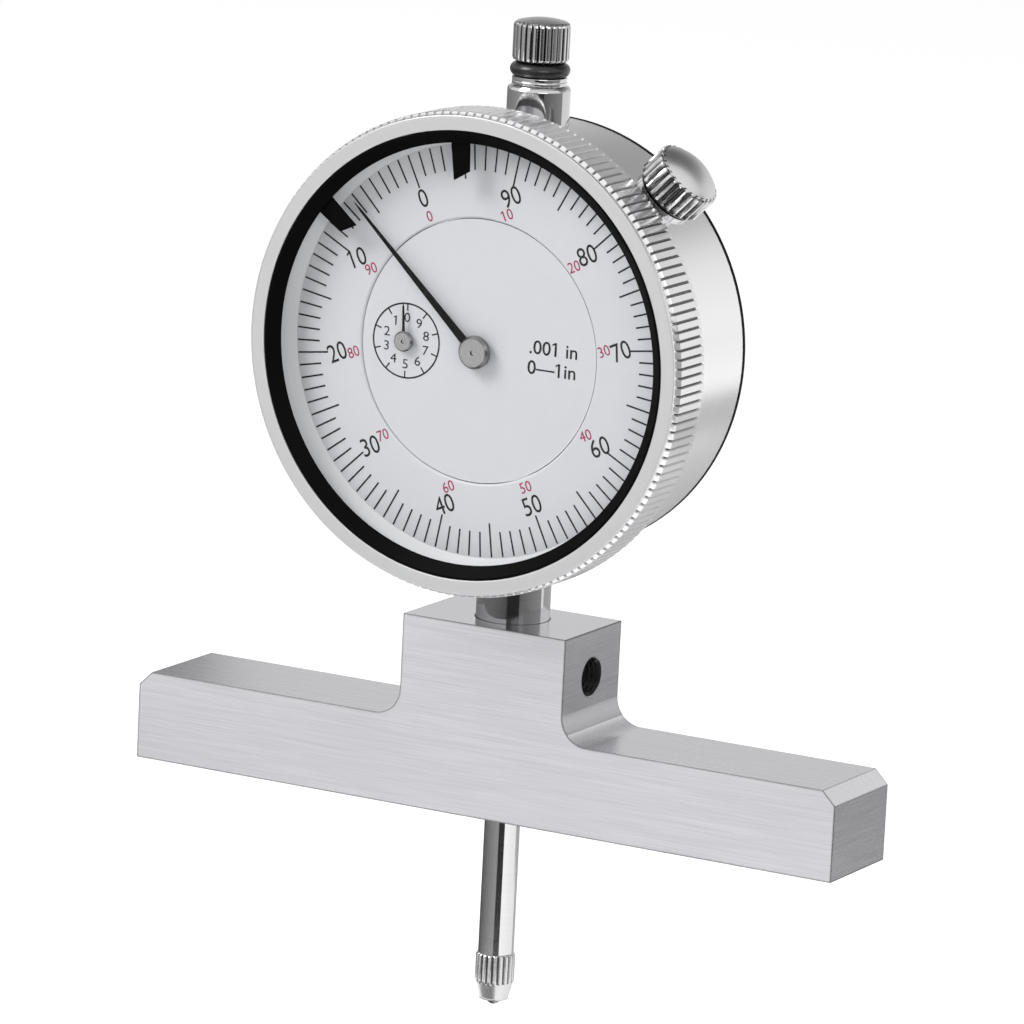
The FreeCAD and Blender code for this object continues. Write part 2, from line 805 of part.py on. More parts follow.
def rack_strip():
    """Rack teeth that stand on the flat milled along the spindle, as one zigzag outline."""
    slope = tan(radians(pressure_angle))
    half_gap = rack_pitch / 4 + rack_backlash / 4
    tip_half = half_gap + (rack_tip_x - rack_line_x) * slope
    root_half = half_gap - (rack_line_x - rack_root_x) * slope
    line = []
    for k in range(-rack_teeth_below(), rack_teeth_above() + 1):
        z = pinion_centre.z + k * rack_pitch
        line += [(-rack_tip_x, z - tip_half), (-rack_root_x, z - root_half),
                 (-rack_root_x, z + root_half), (-rack_tip_x, z + tip_half)]
    foot = -rack_root_x + rack_foot
    return slab([(foot, line[0][1])] + line + [(foot, line[-1][1])], rack_half_width, rack_half_width)


def rack_teeth_above():
    return int(rack_margin / rack_pitch)


def rack_teeth_below():
    return int((travel + rack_margin) / rack_pitch) + 1


def spindle():
    bottom = -contact_top_drop
    rod = turned_about_z([
        (0, bottom), (spindle_r, bottom), (spindle_r, spindle_shoulder), (spindle_stud_r, spindle_shoulder),
        (spindle_stud_r, spindle_shoulder + spindle_stud_length),
        (0, spindle_shoulder + spindle_stud_length)])
    flat_low = pinion_centre.z - rack_pitch * (rack_teeth_below() + 1)
    flat_high = pinion_centre.z + rack_pitch * (rack_teeth_above() + 1)
    flat = block((-spindle_r - overrun, -spindle_r - overrun, flat_low),
                 (-rack_root_x, spindle_r + overrun, flat_high))
    cuts = [flat, rod_z(contact_stud_r + fit, bottom - overrun, bottom + contact_stud_length + running),
            rod_x(guide_pin_r + fit, 0, spindle_r + overrun, 0, guide_pin_height)]
    return rod.cut(cuts).fuse(rack_strip()).removeSplitter()


def guide_pin():
    pin = rod_x(guide_pin_r, running, guide_pin_end, 0, guide_pin_height)
    groove_half = spring_wire_r + guide_pin_groove
    waist = rod_x(guide_pin_r + overrun, spring_x - groove_half, spring_x + groove_half, 0, guide_pin_height)
    core = rod_x(guide_pin_r - guide_pin_groove, spring_x - overrun, spring_x + overrun, 0, guide_pin_height)
    return pin.cut(waist.cut(core))


def contact_point():
    top = -contact_top_drop
    knurl_end = -contact_knurl_end_drop
    nose = -contact_nose_drop
    blank = turned_about_z([
        (0, nose), (contact_nose_r, nose), (contact_r, knurl_end), (contact_r, top - contact_top_chamfer),
        (contact_r - contact_top_chamfer, top), (contact_stud_r, top), (contact_stud_r, top + contact_stud_length),
        (0, top + contact_stud_length)])
    grooves = []
    reach = contact_r + overrun
    half = (reach - contact_r + contact_groove_depth) * contact_groove_slope_share
    for k in range(contact_groove_count):
        notch = [Vector(contact_r - contact_groove_depth, 0, 0), Vector(reach, -half, 0),
                 Vector(reach, half, 0)]
        groove = Part.Face(Part.makePolygon(notch + notch[:1])).extrude(Vector(0, 0, top - knurl_end))
        groove.translate(Vector(0, 0, knurl_end))
        groove.rotate(Vector(0, 0, 0), Vector(0, 0, 1), 360 * k / contact_groove_count)
        grooves.append(groove)
    socket = Part.makeSphere(ball_r + ball_socket_gap, Vector(0, 0, ball_r - tip_drop))
    return blank.cut(grooves).cut(socket)


def contact_ball():
    return Part.makeSphere(ball_r, Vector(0, 0, ball_r - tip_drop))


def stop_collar():
    bottom = spindle_shoulder
    return turned_about_z([
        (spindle_stud_r + fit, bottom), (collar_r, bottom), (collar_r, bottom + collar_height),
        (spindle_stud_r + fit, bottom + collar_height)])


def bump_ring():
    low = spindle_shoulder + collar_height
    high = low + bump_ring_height
    return turned_about_z([
        (knob_neck_r + fit, low), (bump_ring_r - bump_ring_edge, low), (bump_ring_r, low + bump_ring_edge),
        (bump_ring_r, high - bump_ring_edge), (bump_ring_r - bump_ring_edge, high), (knob_neck_r + fit, high)])


def lens(radius, height):
    """Round dome of the given foot radius and height, its foot at z = 0."""
    sphere_r = (radius ** 2 + height ** 2) / (2 * height)
    ball = Part.makeSphere(sphere_r, Vector(0, 0, height - sphere_r))
    return ball.common(rod_z(radius, 0, height + overrun))


def lifting_knob():
    foot = spindle_shoulder + collar_height
    head_low = foot + bump_ring_height
    head_high = head_low + knob_height
    neck = rod_z(knob_neck_r, foot, head_low)
    head = knurl_z(knob_r, knob_root_r, knob_ridge_count, head_low, head_high)
    dome = lens(knob_root_r, knob_dome)
    dome.translate(Vector(0, 0, head_high))
    bore = rod_z(spindle_stud_r + fit, foot - overrun, head_high - knob_roof)
    return head.fuse([neck, dome]).removeSplitter().cut(bore)


# Gear train and pointers

def rack_pinion():
    teeth = gear(pinion_centre, pinion_teeth, rack_module, 0, pinion_addendum_share, rack_backlash,
                 rack_pinion_half_width, -rack_pinion_half_width)
    shaft = rod_y(arbor_r, cock_back - running, rear_plate_front - running, pinion_centre)
    pivots = rod_y(pivot_r, cock_back + cock_thickness, rear_plate_back, pinion_centre)
    return teeth.fuse([shaft, pivots]).removeSplitter()


def drive_gear():
    front = drive_gear_back + wheel_thickness
    wheel = gear(pinion_centre, drive_teeth, wheel_module, drive_direction, wheel_addendum_share, wheel_backlash,
                 front, drive_gear_back)
    return wheel.cut(rod_y(arbor_r + fit, front + overrun, overrun, pinion_centre))


def centre_phase():
    return meshing_phase(drive_direction, drive_direction, drive_teeth, centre_teeth)


def centre_pinion():
    teeth = gear(dial_centre, centre_teeth, wheel_module, centre_phase(), pinion_addendum_share, wheel_backlash,
                 centre_pinion_front, centre_pinion_back)
    rear_pivot = rod_y(pivot_r, centre_pinion_front, -mid_plate_back, dial_centre)
    shaft = rod_y(arbor_r, front_plate_back - running, -mid_plate_front - running, dial_centre)
    nose = rod_y(arbor_nose_r, pointer_hub_front - nose_below_hub, -centre_pinion_front, dial_centre)
    return teeth.fuse([rear_pivot, shaft, nose]).removeSplitter()


def take_up_gear():
    front = take_up_gear_back + wheel_thickness
    phase = meshing_phase(centre_phase(), pi, centre_teeth, take_up_teeth)
    wheel = gear(counter_centre, take_up_teeth, wheel_module, phase, wheel_addendum_share, wheel_backlash,
                 front, take_up_gear_back)
    return wheel.cut(rod_y(arbor_r + fit, front + overrun, overrun, counter_centre))


def counter_arbor():
    rear_pivot = rod_y(pivot_r, take_up_gear_back, -mid_plate_back, counter_centre)
    shaft = rod_y(arbor_r, front_plate_back - running, -mid_plate_front - running, counter_centre)
    nose = rod_y(arbor_nose_r, counter_hub_front - nose_below_hub, running - front_plate_back, counter_centre)
    return shaft.fuse([rear_pivot, nose]).removeSplitter()


def hairspring_collet():
    back = take_up_gear_back + wheel_thickness + running
    collet = rod_y(collet_r, front_plate_back - 2 * running, -back, counter_centre)
    return collet.cut(rod_y(arbor_r + fit, front_plate_back + overrun, overrun, counter_centre))


def hub(centre, r, front, depth, hole_r):
    """Pointer hub: a turned disc with a bore for the arbor's nose and a small hole in its face."""
    edge = pointer_hub_edge
    disc = turned_about_y([
        (0, -front), (r - edge, -front), (r, -front + edge), (r, -front + depth), (0, -front + depth)], centre)
    cuts = [rod_y(arbor_nose_r + fit, front - nose_below_hub + fit, -front + depth + overrun, centre),
            rod_y(hole_r, front + overrun, overrun - front, centre)]
    return disc.cut(cuts)


def tapered_strip(centre, angle, start, length, root_width, tip_width, taper_share, front, thickness):
    """Pointer blade from radius start to its tip, at an angle in degrees clockwise from +Z."""
    along = Vector(sin(radians(angle)), 0, cos(radians(angle)))
    across = Vector(cos(radians(angle)), 0, -sin(radians(angle)))
    neck = start + (length - start) * taper_share
    outline = [(start, -root_width / 2), (neck, -tip_width / 2), (length, 0), (neck, tip_width / 2),
               (start, root_width / 2)]
    corners = []
    for reach, side in outline:
        place = centre + along * reach + across * side
        corners.append((place.x, place.z))
    return slab(corners, front, thickness - front)


def pointer_hub():
    solid = hub(dial_centre, pointer_hub_r, pointer_hub_front, pointer_hub_depth, pointer_hub_hole_r)
    return solid.cut(pointer_seat(dial_centre, pointer_angle, pointer_root_width, pointer_front,
                                  pointer_thickness, pointer_hub_r))


def pointer_seat(centre, angle, width, front, thickness, hub_radius):
    """Slot in a hub for the blade's root, open to the rim."""
    start = hub_radius / 2
    return tapered_strip(centre, angle, start, hub_radius + overrun, width + 2 * fit, width + 2 * fit,
                         pointer_taper_share, front + fit, thickness + 2 * fit)


def main_pointer():
    return tapered_strip(dial_centre, pointer_angle, pointer_hub_r / 2 + fit, pointer_length,
                         pointer_root_width, pointer_tip_width, pointer_taper_share, pointer_front,
                         pointer_thickness)


def counter_hub():
    solid = hub(counter_centre, counter_hub_r, counter_hub_front, counter_hub_depth, counter_hub_hole_r)
    return solid.cut(pointer_seat(counter_centre, counter_angle, counter_root_width, counter_front,
                                  counter_thickness, counter_hub_r))


def counter_pointer():
    return tapered_strip(counter_centre, counter_angle, counter_hub_r / 2 + fit, counter_length,
                         counter_root_width, counter_tip_width, pointer_taper_share, counter_front,
                         counter_thickness)


def dial_foot_places():
    return [around(dial_centre, dial_foot_ring_r, a) for a in dial_foot_angles]


def centre_dial():
    front = scale_front - centre_dial_recess
    disc = rod_y(centre_dial_r, front, centre_dial_thickness - front, dial_centre)
    feet = [rod_y(dial_foot_r, front - centre_dial_thickness / 2, -front_plate_front, Vector(x, 0, z))
            for x, z in dial_foot_places()]
    holes = [rod_y(dial_hole_r, front + overrun, overrun - front, c) for c in (dial_centre, counter_centre)]
    return disc.fuse(feet).removeSplitter().cut(holes)


# Bezel and what turns with it

def bezel():
    points = []
    for angle, radius in ridge_corners(bezel_crest_r, bezel_root_r, bezel_ridge_count):
        points.append((radius * cos(angle), dial_height + radius * sin(angle)))
    knurl_front = bezel_front - bezel_land_depth
    knurl = slab(points, knurl_front, -bezel_knurl_back)
    land = turned_about_y([
        (bezel_bore_r, -bezel_front), (bezel_land_r - bezel_edge, -bezel_front),
        (bezel_land_r, -bezel_front + bezel_edge), (bezel_land_r, -knurl_front), (bezel_bore_r, -knurl_front)],
        dial_centre)
    lip = turned_about_y([
        (spigot_r + skirt_clearance, -bezel_knurl_back), (bezel_lip_r, -bezel_knurl_back),
        (bezel_lip_r, -bezel_back), (spigot_r + skirt_clearance, -bezel_back)], dial_centre)
    groove_r = spigot_r + wire_r + wire_groove_clearance
    groove_half = wire_r + wire_groove_clearance
    skirt_r = spigot_r + skirt_clearance
    bore = turned_about_y([
        (0, -bezel_front - overrun), (bezel_bore_r, -bezel_front - overrun), (bezel_bore_r, -scale_back),
        (skirt_r, -scale_back), (skirt_r, -wire_y - groove_half), (groove_r, -wire_y - groove_half),
        (groove_r, -wire_y + groove_half), (skirt_r, -wire_y + groove_half), (skirt_r, -bezel_back + overrun),
        (0, -bezel_back + overrun)], dial_centre)
    return knurl.cut(bore).fuse([land, lip]).removeSplitter()


def bezel_spring_ring():
    """Split ring of square wire, half in the case's groove and half in the bezel's."""
    ring = turned_about_y([
        (spigot_r - wire_r, -wire_y - wire_r), (spigot_r + wire_r, -wire_y - wire_r),
        (spigot_r + wire_r, -wire_y + wire_r), (spigot_r - wire_r, -wire_y + wire_r)], dial_centre)
    half = wire_split / 2
    split = block((-half, -web_front, dial_height - case_r - overrun), (half, 0, dial_height))
    return ring.cut(split)


def bezel_ring_seat_r():
    return bezel_bore_r - seat_clearance


def glass_ring():
    """Black ring in front of the crystal, bevelled towards the dial."""
    outer = bezel_ring_seat_r()
    return turned_about_y([
        (outer, -ring_front), (outer, -ring_back), (ring_inner_r, -ring_back), (ring_inner_r, -ring_lip_front)],
        dial_centre)


def crystal():
    return rod_y(bezel_ring_seat_r(), crystal_front, -crystal_back, dial_centre)


def dial_wall_ring():
    return turned_about_y([
        (wall_ring_inner_r, -crystal_back), (bezel_ring_seat_r(), -crystal_back),
        (bezel_ring_seat_r(), -scale_front), (wall_ring_inner_r, -scale_front)], dial_centre)


def scale_ring():
    return turned_about_y([
        (scale_inner_r, -scale_front), (bezel_ring_seat_r(), -scale_front), (bezel_ring_seat_r(), -scale_back),
        (scale_inner_r, -scale_back)], dial_centre)


def tolerance_hand(angle, long_side):
    """Black tab with a curved runner that slides between the glass ring and the crystal."""
    gap = (hand_slot - hand_thickness) / 2
    front = crystal_front + gap + hand_thickness

    def place(radius, turn):
        a = radians(angle + turn)
        return Vector(radius * sin(a), -front, dial_height + radius * cos(a))

    wide = hand_rim_half_angle
    half = hand_half_angle
    edges = [Part.Arc(place(hand_outer_r, -wide), place(hand_outer_r, 0), place(hand_outer_r, wide)).toShape()]
    corners = [place(hand_outer_r, wide), place(hand_rim_inner_r, wide), place(hand_rim_inner_r, half),
               place(hand_inner_r + hand_slant * (long_side < 0), half),
               place(hand_inner_r + hand_slant * (long_side > 0), -half),
               place(hand_rim_inner_r, -half), place(hand_rim_inner_r, -wide), place(hand_outer_r, -wide)]
    edges += [Part.makeLine(a, b) for a, b in zip(corners, corners[1:])]
    return Part.Face(Part.Wire(edges)).extrude(Vector(0, hand_thickness, 0))


# Bezel clamp

def clamp_boss():
    post = radial(rod_z(clamp_boss_r, case_inner_r, clamp_boss_top))
    bore = radial(rod_z(clamp_shank_r + running, case_inner_r - overrun, clamp_boss_top + overrun))
    inside = rod_y(case_r, web_front, case_back + overrun, dial_centre)
    return post.cut(inside).cut(bore)


def clamp_washer():
    washer = rod_z(clamp_washer_r, clamp_washer_bottom, clamp_washer_bottom + clamp_washer_thickness)
    hole = rod_z(clamp_shank_r + running, clamp_washer_bottom - overrun,
                 clamp_washer_bottom + clamp_washer_thickness + overrun)
    return radial(washer.cut(hole))


def bezel_clamp_screw():
    foot = clamp_washer_bottom + clamp_washer_thickness + clamp_head_gap
    low = foot + clamp_head_foot
    high = foot + clamp_head_height
    shank = rod_z(clamp_shank_r, clamp_shank_end, foot)
    collar = Part.makeCone(clamp_head_root_r - clamp_head_foot, clamp_head_root_r, clamp_head_foot,
                           Vector(0, 0, foot))
    head = knurl_z(clamp_head_r, clamp_head_root_r, clamp_ridge_count, low, high)
    dome = lens(clamp_head_root_r, clamp_dome)
    dome.translate(Vector(0, 0, high))
    return radial(head.fuse([shank, collar, dome]).removeSplitter())


def clamp_nut():
    """Square nut inside the case that the thumb screw draws against."""
    high = case_inner_r - clamp_nut_gap
    low = high - clamp_nut_height
    nut = block((-clamp_nut_r, -clamp_nut_r, low), (clamp_nut_r, clamp_nut_r, high))
    return radial(nut.cut(rod_z(clamp_shank_r + running, low - overrun, high + overrun)))


def main():
    os.makedirs("parts", exist_ok=True)
    save("base_block", base_block())
    save("stem_clamp_screw", stem_clamp_screw())
    save("stem", stem())
    save("spindle_bushes", spindle_bushes())
    save("upper_bushing", upper_bushing())
    save("case", case())
    save("back_gasket", back_gasket())
    save("back_cover", back_cover())
    save("back_cover_screws", back_cover_screws())
    save("rear_plate", rear_plate())
    save("mid_plate", mid_plate())
    save("front_plate", front_plate())
    save("rear_pillars", rear_pillars())
    save("front_pillars", front_pillars())
    save("plate_screws", plate_screws())
    save("movement_mount_screws", movement_mount_screws())
    save("pinion_cock", pinion_cock())
    save("cock_screw", cock_screw())
    save("guide_rail", guide_rail())
    save("spring_post", spring_post())
    save("return_spring", return_spring())
    save("hairspring", hairspring())
    save("hairspring_stud", hairspring_stud())
    save("centre_dial", centre_dial())
    save("bezel_spring_ring", bezel_spring_ring())
    save("clamp_boss", clamp_boss())
    save("clamp_nut", clamp_nut())
    save("spindle", spindle())
    save("guide_pin", guide_pin())
    save("contact_point", contact_point())
    save("contact_ball", contact_ball())
    save("stop_collar", stop_collar())
    save("bump_ring", bump_ring())
    save("lifting_knob", lifting_knob())
    save("rack_pinion", rack_pinion())
    save("drive_gear", drive_gear())
    save("centre_pinion", centre_pinion())
    save("pointer_hub", pointer_hub())
    save("main_pointer", main_pointer())
    save("counter_arbor", counter_arbor())
    save("take_up_gear", take_up_gear())
    save("hairspring_collet", hairspring_collet())
    save("counter_hub", counter_hub())
    save("counter_pointer", counter_pointer())
    save("bezel", bezel())
    save("glass_ring", glass_ring())
    save("crystal", crystal())
    save("dial_wall_ring", dial_wall_ring())
    save("scale_ring", scale_ring())
    save("tolerance_hand_left", tolerance_hand(left_hand_angle, 1))
    save("tolerance_hand_right", tolerance_hand(right_hand_angle, -1))
    save("clamp_washer", clamp_washer())
    save("bezel_clamp_screw", bezel_clamp_screw())


main()
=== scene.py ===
import json
import math
import bmesh
import bpy
import numpy as np
from mathutils import Matrix, Vector


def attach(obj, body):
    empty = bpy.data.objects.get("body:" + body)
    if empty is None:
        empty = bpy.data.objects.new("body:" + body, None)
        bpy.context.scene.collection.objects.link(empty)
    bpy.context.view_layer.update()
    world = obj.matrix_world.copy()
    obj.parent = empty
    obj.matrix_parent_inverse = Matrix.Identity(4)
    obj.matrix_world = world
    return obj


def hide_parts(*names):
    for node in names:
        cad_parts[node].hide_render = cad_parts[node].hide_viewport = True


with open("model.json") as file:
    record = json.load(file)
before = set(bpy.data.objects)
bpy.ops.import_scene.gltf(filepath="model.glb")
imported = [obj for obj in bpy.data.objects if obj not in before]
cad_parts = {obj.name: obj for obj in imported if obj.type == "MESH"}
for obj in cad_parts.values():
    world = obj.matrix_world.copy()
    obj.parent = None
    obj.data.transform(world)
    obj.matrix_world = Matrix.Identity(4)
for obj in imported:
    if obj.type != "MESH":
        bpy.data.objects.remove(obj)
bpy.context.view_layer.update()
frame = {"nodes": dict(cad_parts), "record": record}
MM = 0.001

# Dial head, in millimetres, +Z up and the dial facing -Y
DIAL_HEIGHT = 61.4
DIAL = np.array([0, 0, DIAL_HEIGHT])
COUNTER = DIAL + np.array([-10.45, 0, 0])
LAND_FRONT = -17.5
CRYSTAL_FRONT = -16.0
WALL_FRONT = -14.5
SCALE_FACE = -12.8
SCALE_BACK = -12.36
CENTRE_FACE = -12.55
SEAT_R = 28.37
ROUND_STEPS = 240

# Print: its turn with the bezel, its thickness and how far it stands off the dial
SCALE_TURN = -25.6
INK = 0.012
LIFT = 0.01
MARKS = 100
TENS = 10

# Bezel clamp: how far its axis leans to the right, and its depth
CLAMP_LEAN = 45
CLAMP_DEPTH = -5.5

# Turned coordinates of the finishes: centre, turn, and the ways that faces look
UP = (0, 0, 0)
TO_DIAL = (math.radians(90), 0, 0)
TO_CLAMP = (0, math.radians(-CLAMP_LEAN), 0)
SPINDLE_AXIS = (0, 0, 0)
DIAL_AXIS = (0, DIAL_HEIGHT * MM, 0)
CLAMP_AXIS = (DIAL_HEIGHT * MM * math.sin(math.radians(CLAMP_LEAN)), -CLAMP_DEPTH * MM, 0)
AHEAD = (0, -1, 0)
ABOVE = (0, 0, 1)
BELOW = (0, 0, -1)
ALONG_CLAMP = (0.707, 0, 0.707)
IN_MM = (1000, 1000, 1000)


# Shader nodes

class Channel:
    """One output of a finish's nodes. Arithmetic on it adds the Math nodes."""

    def __init__(self, finish, output):
        self.finish = finish
        self.output = output

    def __add__(self, other):
        return self.finish.maths("ADD", self, other)

    def __sub__(self, other):
        return self.finish.maths("SUBTRACT", self, other)

    def __rsub__(self, other):
        return self.finish.maths("SUBTRACT", other, self)

    def __mul__(self, other):
        return self.finish.maths("MULTIPLY", self, other)

    def __gt__(self, other):
        return self.finish.maths("GREATER_THAN", self, other)

    def __lt__(self, other):
        return self.finish.maths("LESS_THAN", self, other)

    __radd__ = __add__
    __rmul__ = __mul__


class Finish:
    """The nodes of one material or of the world."""

    def __init__(self, owner):
        self.owner = owner
        owner.use_nodes = True
        self.tree = owner.node_tree
        self.tree.nodes.clear()

    def node(self, kind, settings=None, sockets=None, output=0):
        made = self.tree.nodes.new("ShaderNode" + kind)
        for key, value in (settings or {}).items():
            if key == "stops":
                ramp = made.color_ramp
                while len(ramp.elements) < len(value):
                    ramp.elements.new(1)
                for element, (place, colour) in zip(ramp.elements, value):
                    element.position = place
                    element.color = (*colour, 1)
            else:
                setattr(made, key, value)
        for key, value in (sockets or {}).items():
            if isinstance(value, Channel):
                self.tree.links.new(value.output, made.inputs[key])
            else:
                made.inputs[key].default_value = value
        return Channel(self, made.outputs[output]) if made.outputs else made

    def maths(self, operation, first, second=0.0):
        return self.node("Math", {"operation": operation}, {0: first, 1: second})

    def clamped(self, value):
        return self.node("Clamp", {}, {"Value": value})

    def blend(self, share, first, second):
        """Colour between two colours, by a share from 0 to 1."""
        return self.node("Mix", {"data_type": "RGBA"}, {0: share, 6: first, 7: second}, 2)

    def place(self, stretch=(1, 1, 1), centre=(0, 0, 0), turn=(0, 0, 0)):
        """Object coordinates, centred, turned and stretched for a pattern."""
        here = self.node("TexCoord", {}, {}, "Object")
        moved = self.node("Mapping", {}, {"Vector": here, "Location": centre, "Rotation": turn})
        return self.node("Mapping", {}, {"Vector": moved, "Scale": stretch})

    def noise(self, place, scale=1.0, detail=2.0, roughness=0.5):
        sockets = {"Vector": place, "Scale": scale, "Detail": detail, "Roughness": roughness}
        return self.node("TexNoise", {}, sockets)

    def axes(self, place):
        split = self.tree.nodes.new("ShaderNodeSeparateXYZ")
        self.tree.links.new(place.output, split.inputs[0])
        return [Channel(self, out) for out in split.outputs]

    def dot(self, first, second):
        return self.node("VectorMath", {"operation": "DOT_PRODUCT"}, {0: first, 1: second}, "Value")

    def vector(self, x, y, z):
        return self.node("CombineXYZ", {}, {0: x, 1: y, 2: z})

    def bump(self, height, distance, strength=1.0, normal=None):
        sockets = {"Height": height, "Distance": distance, "Strength": strength}
        if normal is not None:
            sockets["Normal"] = normal
        return self.node("Bump", {}, sockets)

    def rounded(self, radius):
        """Normal as it would be with every edge broken by this radius."""
        return self.node("Bevel", {"samples": 6}, {"Radius": radius})

    def shade(self, **sockets):
        named = {key.replace("_", " "): value for key, value in sockets.items()}
        surface = self.node("BsdfPrincipled", {}, named)
        self.node("OutputMaterial", {}, {"Surface": surface})
        return self.owner


def new_finish(name):
    return Finish(bpy.data.materials.new(name))


def grey(level, blue=1.0):
    return (level, level, level * blue, 1)


# Finishes

def grain(finish, along, fine=9.0, slow=0.1, seed=0.0):
    """Ground grain: noise drawn out along one axis, 0, 1 or 2, in cycles per millimetre."""
    stretch = [fine * 1000] * 3
    stretch[along] = slow * 1000
    broad = [fine * 300] * 3
    broad[along] = slow * 500
    thin = finish.noise(finish.place(stretch, (seed, seed, seed)), 1, 3, 0.6)
    wide = finish.noise(finish.place(broad, (seed, seed, seed)), 1, 2, 0.5)
    return thin * 0.8 + wide * 0.2


def ground_steel():
    """Ground grain along X, and across on the faces that look along X. Painted shade: the edges and the rim
    of the stem's bore on the block's top are painted darker, and so are the faces that look along X."""
    edge_break, painted_edge_radius = 0.00014, 0.0004
    block_top, painted_foot_shade_r = 25.05, 4.93
    squarely = 0.75
    f = new_finish("ground_steel")
    flat = f.node("NewGeometry", {}, {}, "Normal")
    round_edge = f.rounded(edge_break)
    sideways = f.maths("ABSOLUTE", f.axes(flat)[0]) > squarely
    streak = grain(f, 0) * (1 - sideways) + grain(f, 1, seed=0.003) * sideways
    cloud = f.noise(f.place((30, 40, 90)), 1, 2, 0.5)
    shine = f.clamped(streak * 2.2 - 0.6 + (cloud - 0.5) * 0.3)
    bright = f.blend(shine, grey(0.71, 1.04), grey(0.89, 1.04))
    x, y, z = f.axes(f.place(IN_MM))
    front = f.maths("ABSOLUTE", f.axes(flat)[1]) > squarely
    top = z > block_top
    # Painted shadow: a dark ring round the stem's foot on the block's top
    rim = top * (painted_foot_shade_r > f.maths("SQRT", x * x + y * y))
    # Painted shade: edges broken by this radius are painted dark
    painted_edge_shade = f.clamped((1 - f.dot(flat, f.rounded(painted_edge_radius))) * 14 - 0.3)
    # Painted shade: the colour darkens along the edges, round the stem's foot and on the faces that look
    # along X
    colour = f.blend(f.clamped(painted_edge_shade * 0.85 + rim + sideways * 0.48), bright, grey(0.03))
    rough = 0.26 + front * 0.22 - top * 0.1 + (streak - 0.5) * 0.14 + (cloud - 0.5) * 0.05
    return f.shade(Base_Color=colour, Metallic=1.0, Roughness=rough,
                   Normal=f.bump(streak, 0.000006, 0.5, round_edge))


def turned_metal(name, level, rough, ring_depth, centre=SPINDLE_AXIS, turn=UP, facing=None, satin=0.0,
                 contrast=0.1, groove=None, painted_face_level=1.0, metallic=1.0, span=(-200, 200)):
    """Metal turned on a lathe: fine rings round the Z axis of the turned coordinates. Faces that look
    the facing way have the satin roughness and are darkened to a given share as painted shade. Between the
    groove's two radii and the span's two heights, away from those faces, the colour is painted dark as
    painted shade in the grooves."""
    f = new_finish(name)
    x, y, z = f.axes(f.place(IN_MM, centre, turn))
    radius = f.maths("SQRT", x * x + y * y)
    rings = f.noise(f.vector(radius * 9, z * 9, 0.5), 1, 3, 0.6)
    cloud = f.noise(f.place((70, 70, 70)), 1, 2, 0.5)
    colour = f.blend(f.clamped(rings * 0.8 + cloud * 0.3), grey(level * (1 - contrast), 1.01),
                     grey(level * (1 + contrast), 1.01))
    if facing:
        looks = f.dot(f.node("NewGeometry", {}, {}, "Normal"), facing) > 0.8
        rough = rough * (1 - looks) + satin * looks
        # Painted shade: faces that look the facing way are darkened to their given share
        colour = f.blend(looks * (1 - painted_face_level), colour, grey(0))
    if groove:
        # Painted shade in the grooves: darker from the crest radius in to the root radius
        depth = f.clamped((groove[1] - radius) * (1 / (groove[1] - groove[0])))
        depth = depth * (1 - looks) * (z > span[0]) * (z < span[1])
        colour = f.blend(depth * 0.85, colour, grey(0.03))
    roughness = rough * (0.6 + rings * 0.5 + cloud * 0.3)
    return f.shade(Base_Color=colour, Metallic=metallic, Roughness=roughness,
                   Normal=f.bump(rings, ring_depth * MM, 0.5))


def hub_metal(name, centre, r, hole_r):
    """Turned disc: light face, and painted shade on its bevelled rim and in its small hole."""
    f = new_finish(name)
    x, y, z = f.axes(f.place(IN_MM, centre, TO_DIAL))
    radius = f.maths("SQRT", x * x + y * y)
    rings = f.noise(f.vector(radius * 12, 0.3, 0.5), 1, 3, 0.6)
    # Painted shade: the bevelled rim and the small hole are painted darker
    dark = f.clamped((radius > 0.85 * r) * 0.55 + (radius < hole_r * 1.15) * 0.95)
    colour = f.blend(dark, f.blend(rings, grey(0.36), grey(0.5)), grey(0.02))
    return f.shade(Base_Color=colour, Metallic=1.0, Roughness=0.3 + (rings - 0.5) * 0.2,
                   Normal=f.bump(rings, 0.000004, 0.5))


def black_paint(name, level, rough, sheen):
    f = new_finish(name)
    speck = f.noise(f.place(IN_MM), 9, 3, 0.6)
    cloud = f.noise(f.place((120, 120, 120)), 1, 2, 0.5)
    colour = f.blend(cloud, grey(level * 0.7), grey(level * 1.5))
    return f.shade(Base_Color=colour, Roughness=rough + (cloud - 0.5) * 0.12, Specular_IOR_Level=sheen,
                   Normal=f.bump(speck, 0.000006, 0.4))


def dial_paint(name, colour, rough=0.42):
    f = new_finish(name)
    speck = f.noise(f.place(IN_MM), 14, 2, 0.6)
    cloud = f.noise(f.place((90, 90, 90)), 1, 2, 0.5)
    darker = tuple(c * 0.965 for c in colour)
    shade = f.blend(cloud * 0.6 + speck * 0.4, (*darker, 1), (*colour, 1))
    return f.shade(Base_Color=shade, Roughness=rough + (speck - 0.5) * 0.1,
                   Normal=f.bump(speck, 0.000004, 0.3))


def print_ink(name, colour):
    f = new_finish(name)
    speck = f.noise(f.place(IN_MM), 20, 2, 0.5)
    lighter = tuple(c * 1.4 for c in colour)
    return f.shade(Base_Color=f.blend(speck, (*colour, 1), (*lighter, 1)), Roughness=0.5)


def crystal_glass():
    """Clear crystal: a faint sheen over an almost clear body."""
    f = new_finish("crystal_glass")
    smear = f.noise(f.place((60, 60, 60)), 1, 2, 0.5)
    return f.shade(Base_Color=(0.02, 0.02, 0.022, 1), Alpha=0.03 + (smear - 0.5) * 0.012, Roughness=0.06,
                   Coat_Weight=0.3)


def rubber():
    f = new_finish("black_rubber")
    speck = f.noise(f.place(IN_MM), 5, 3, 0.6)
    return f.shade(Base_Color=f.blend(speck, grey(0.006), grey(0.02)), Roughness=0.24 + (speck - 0.5) * 0.14,
                   Normal=f.bump(speck, 0.00001, 0.3))


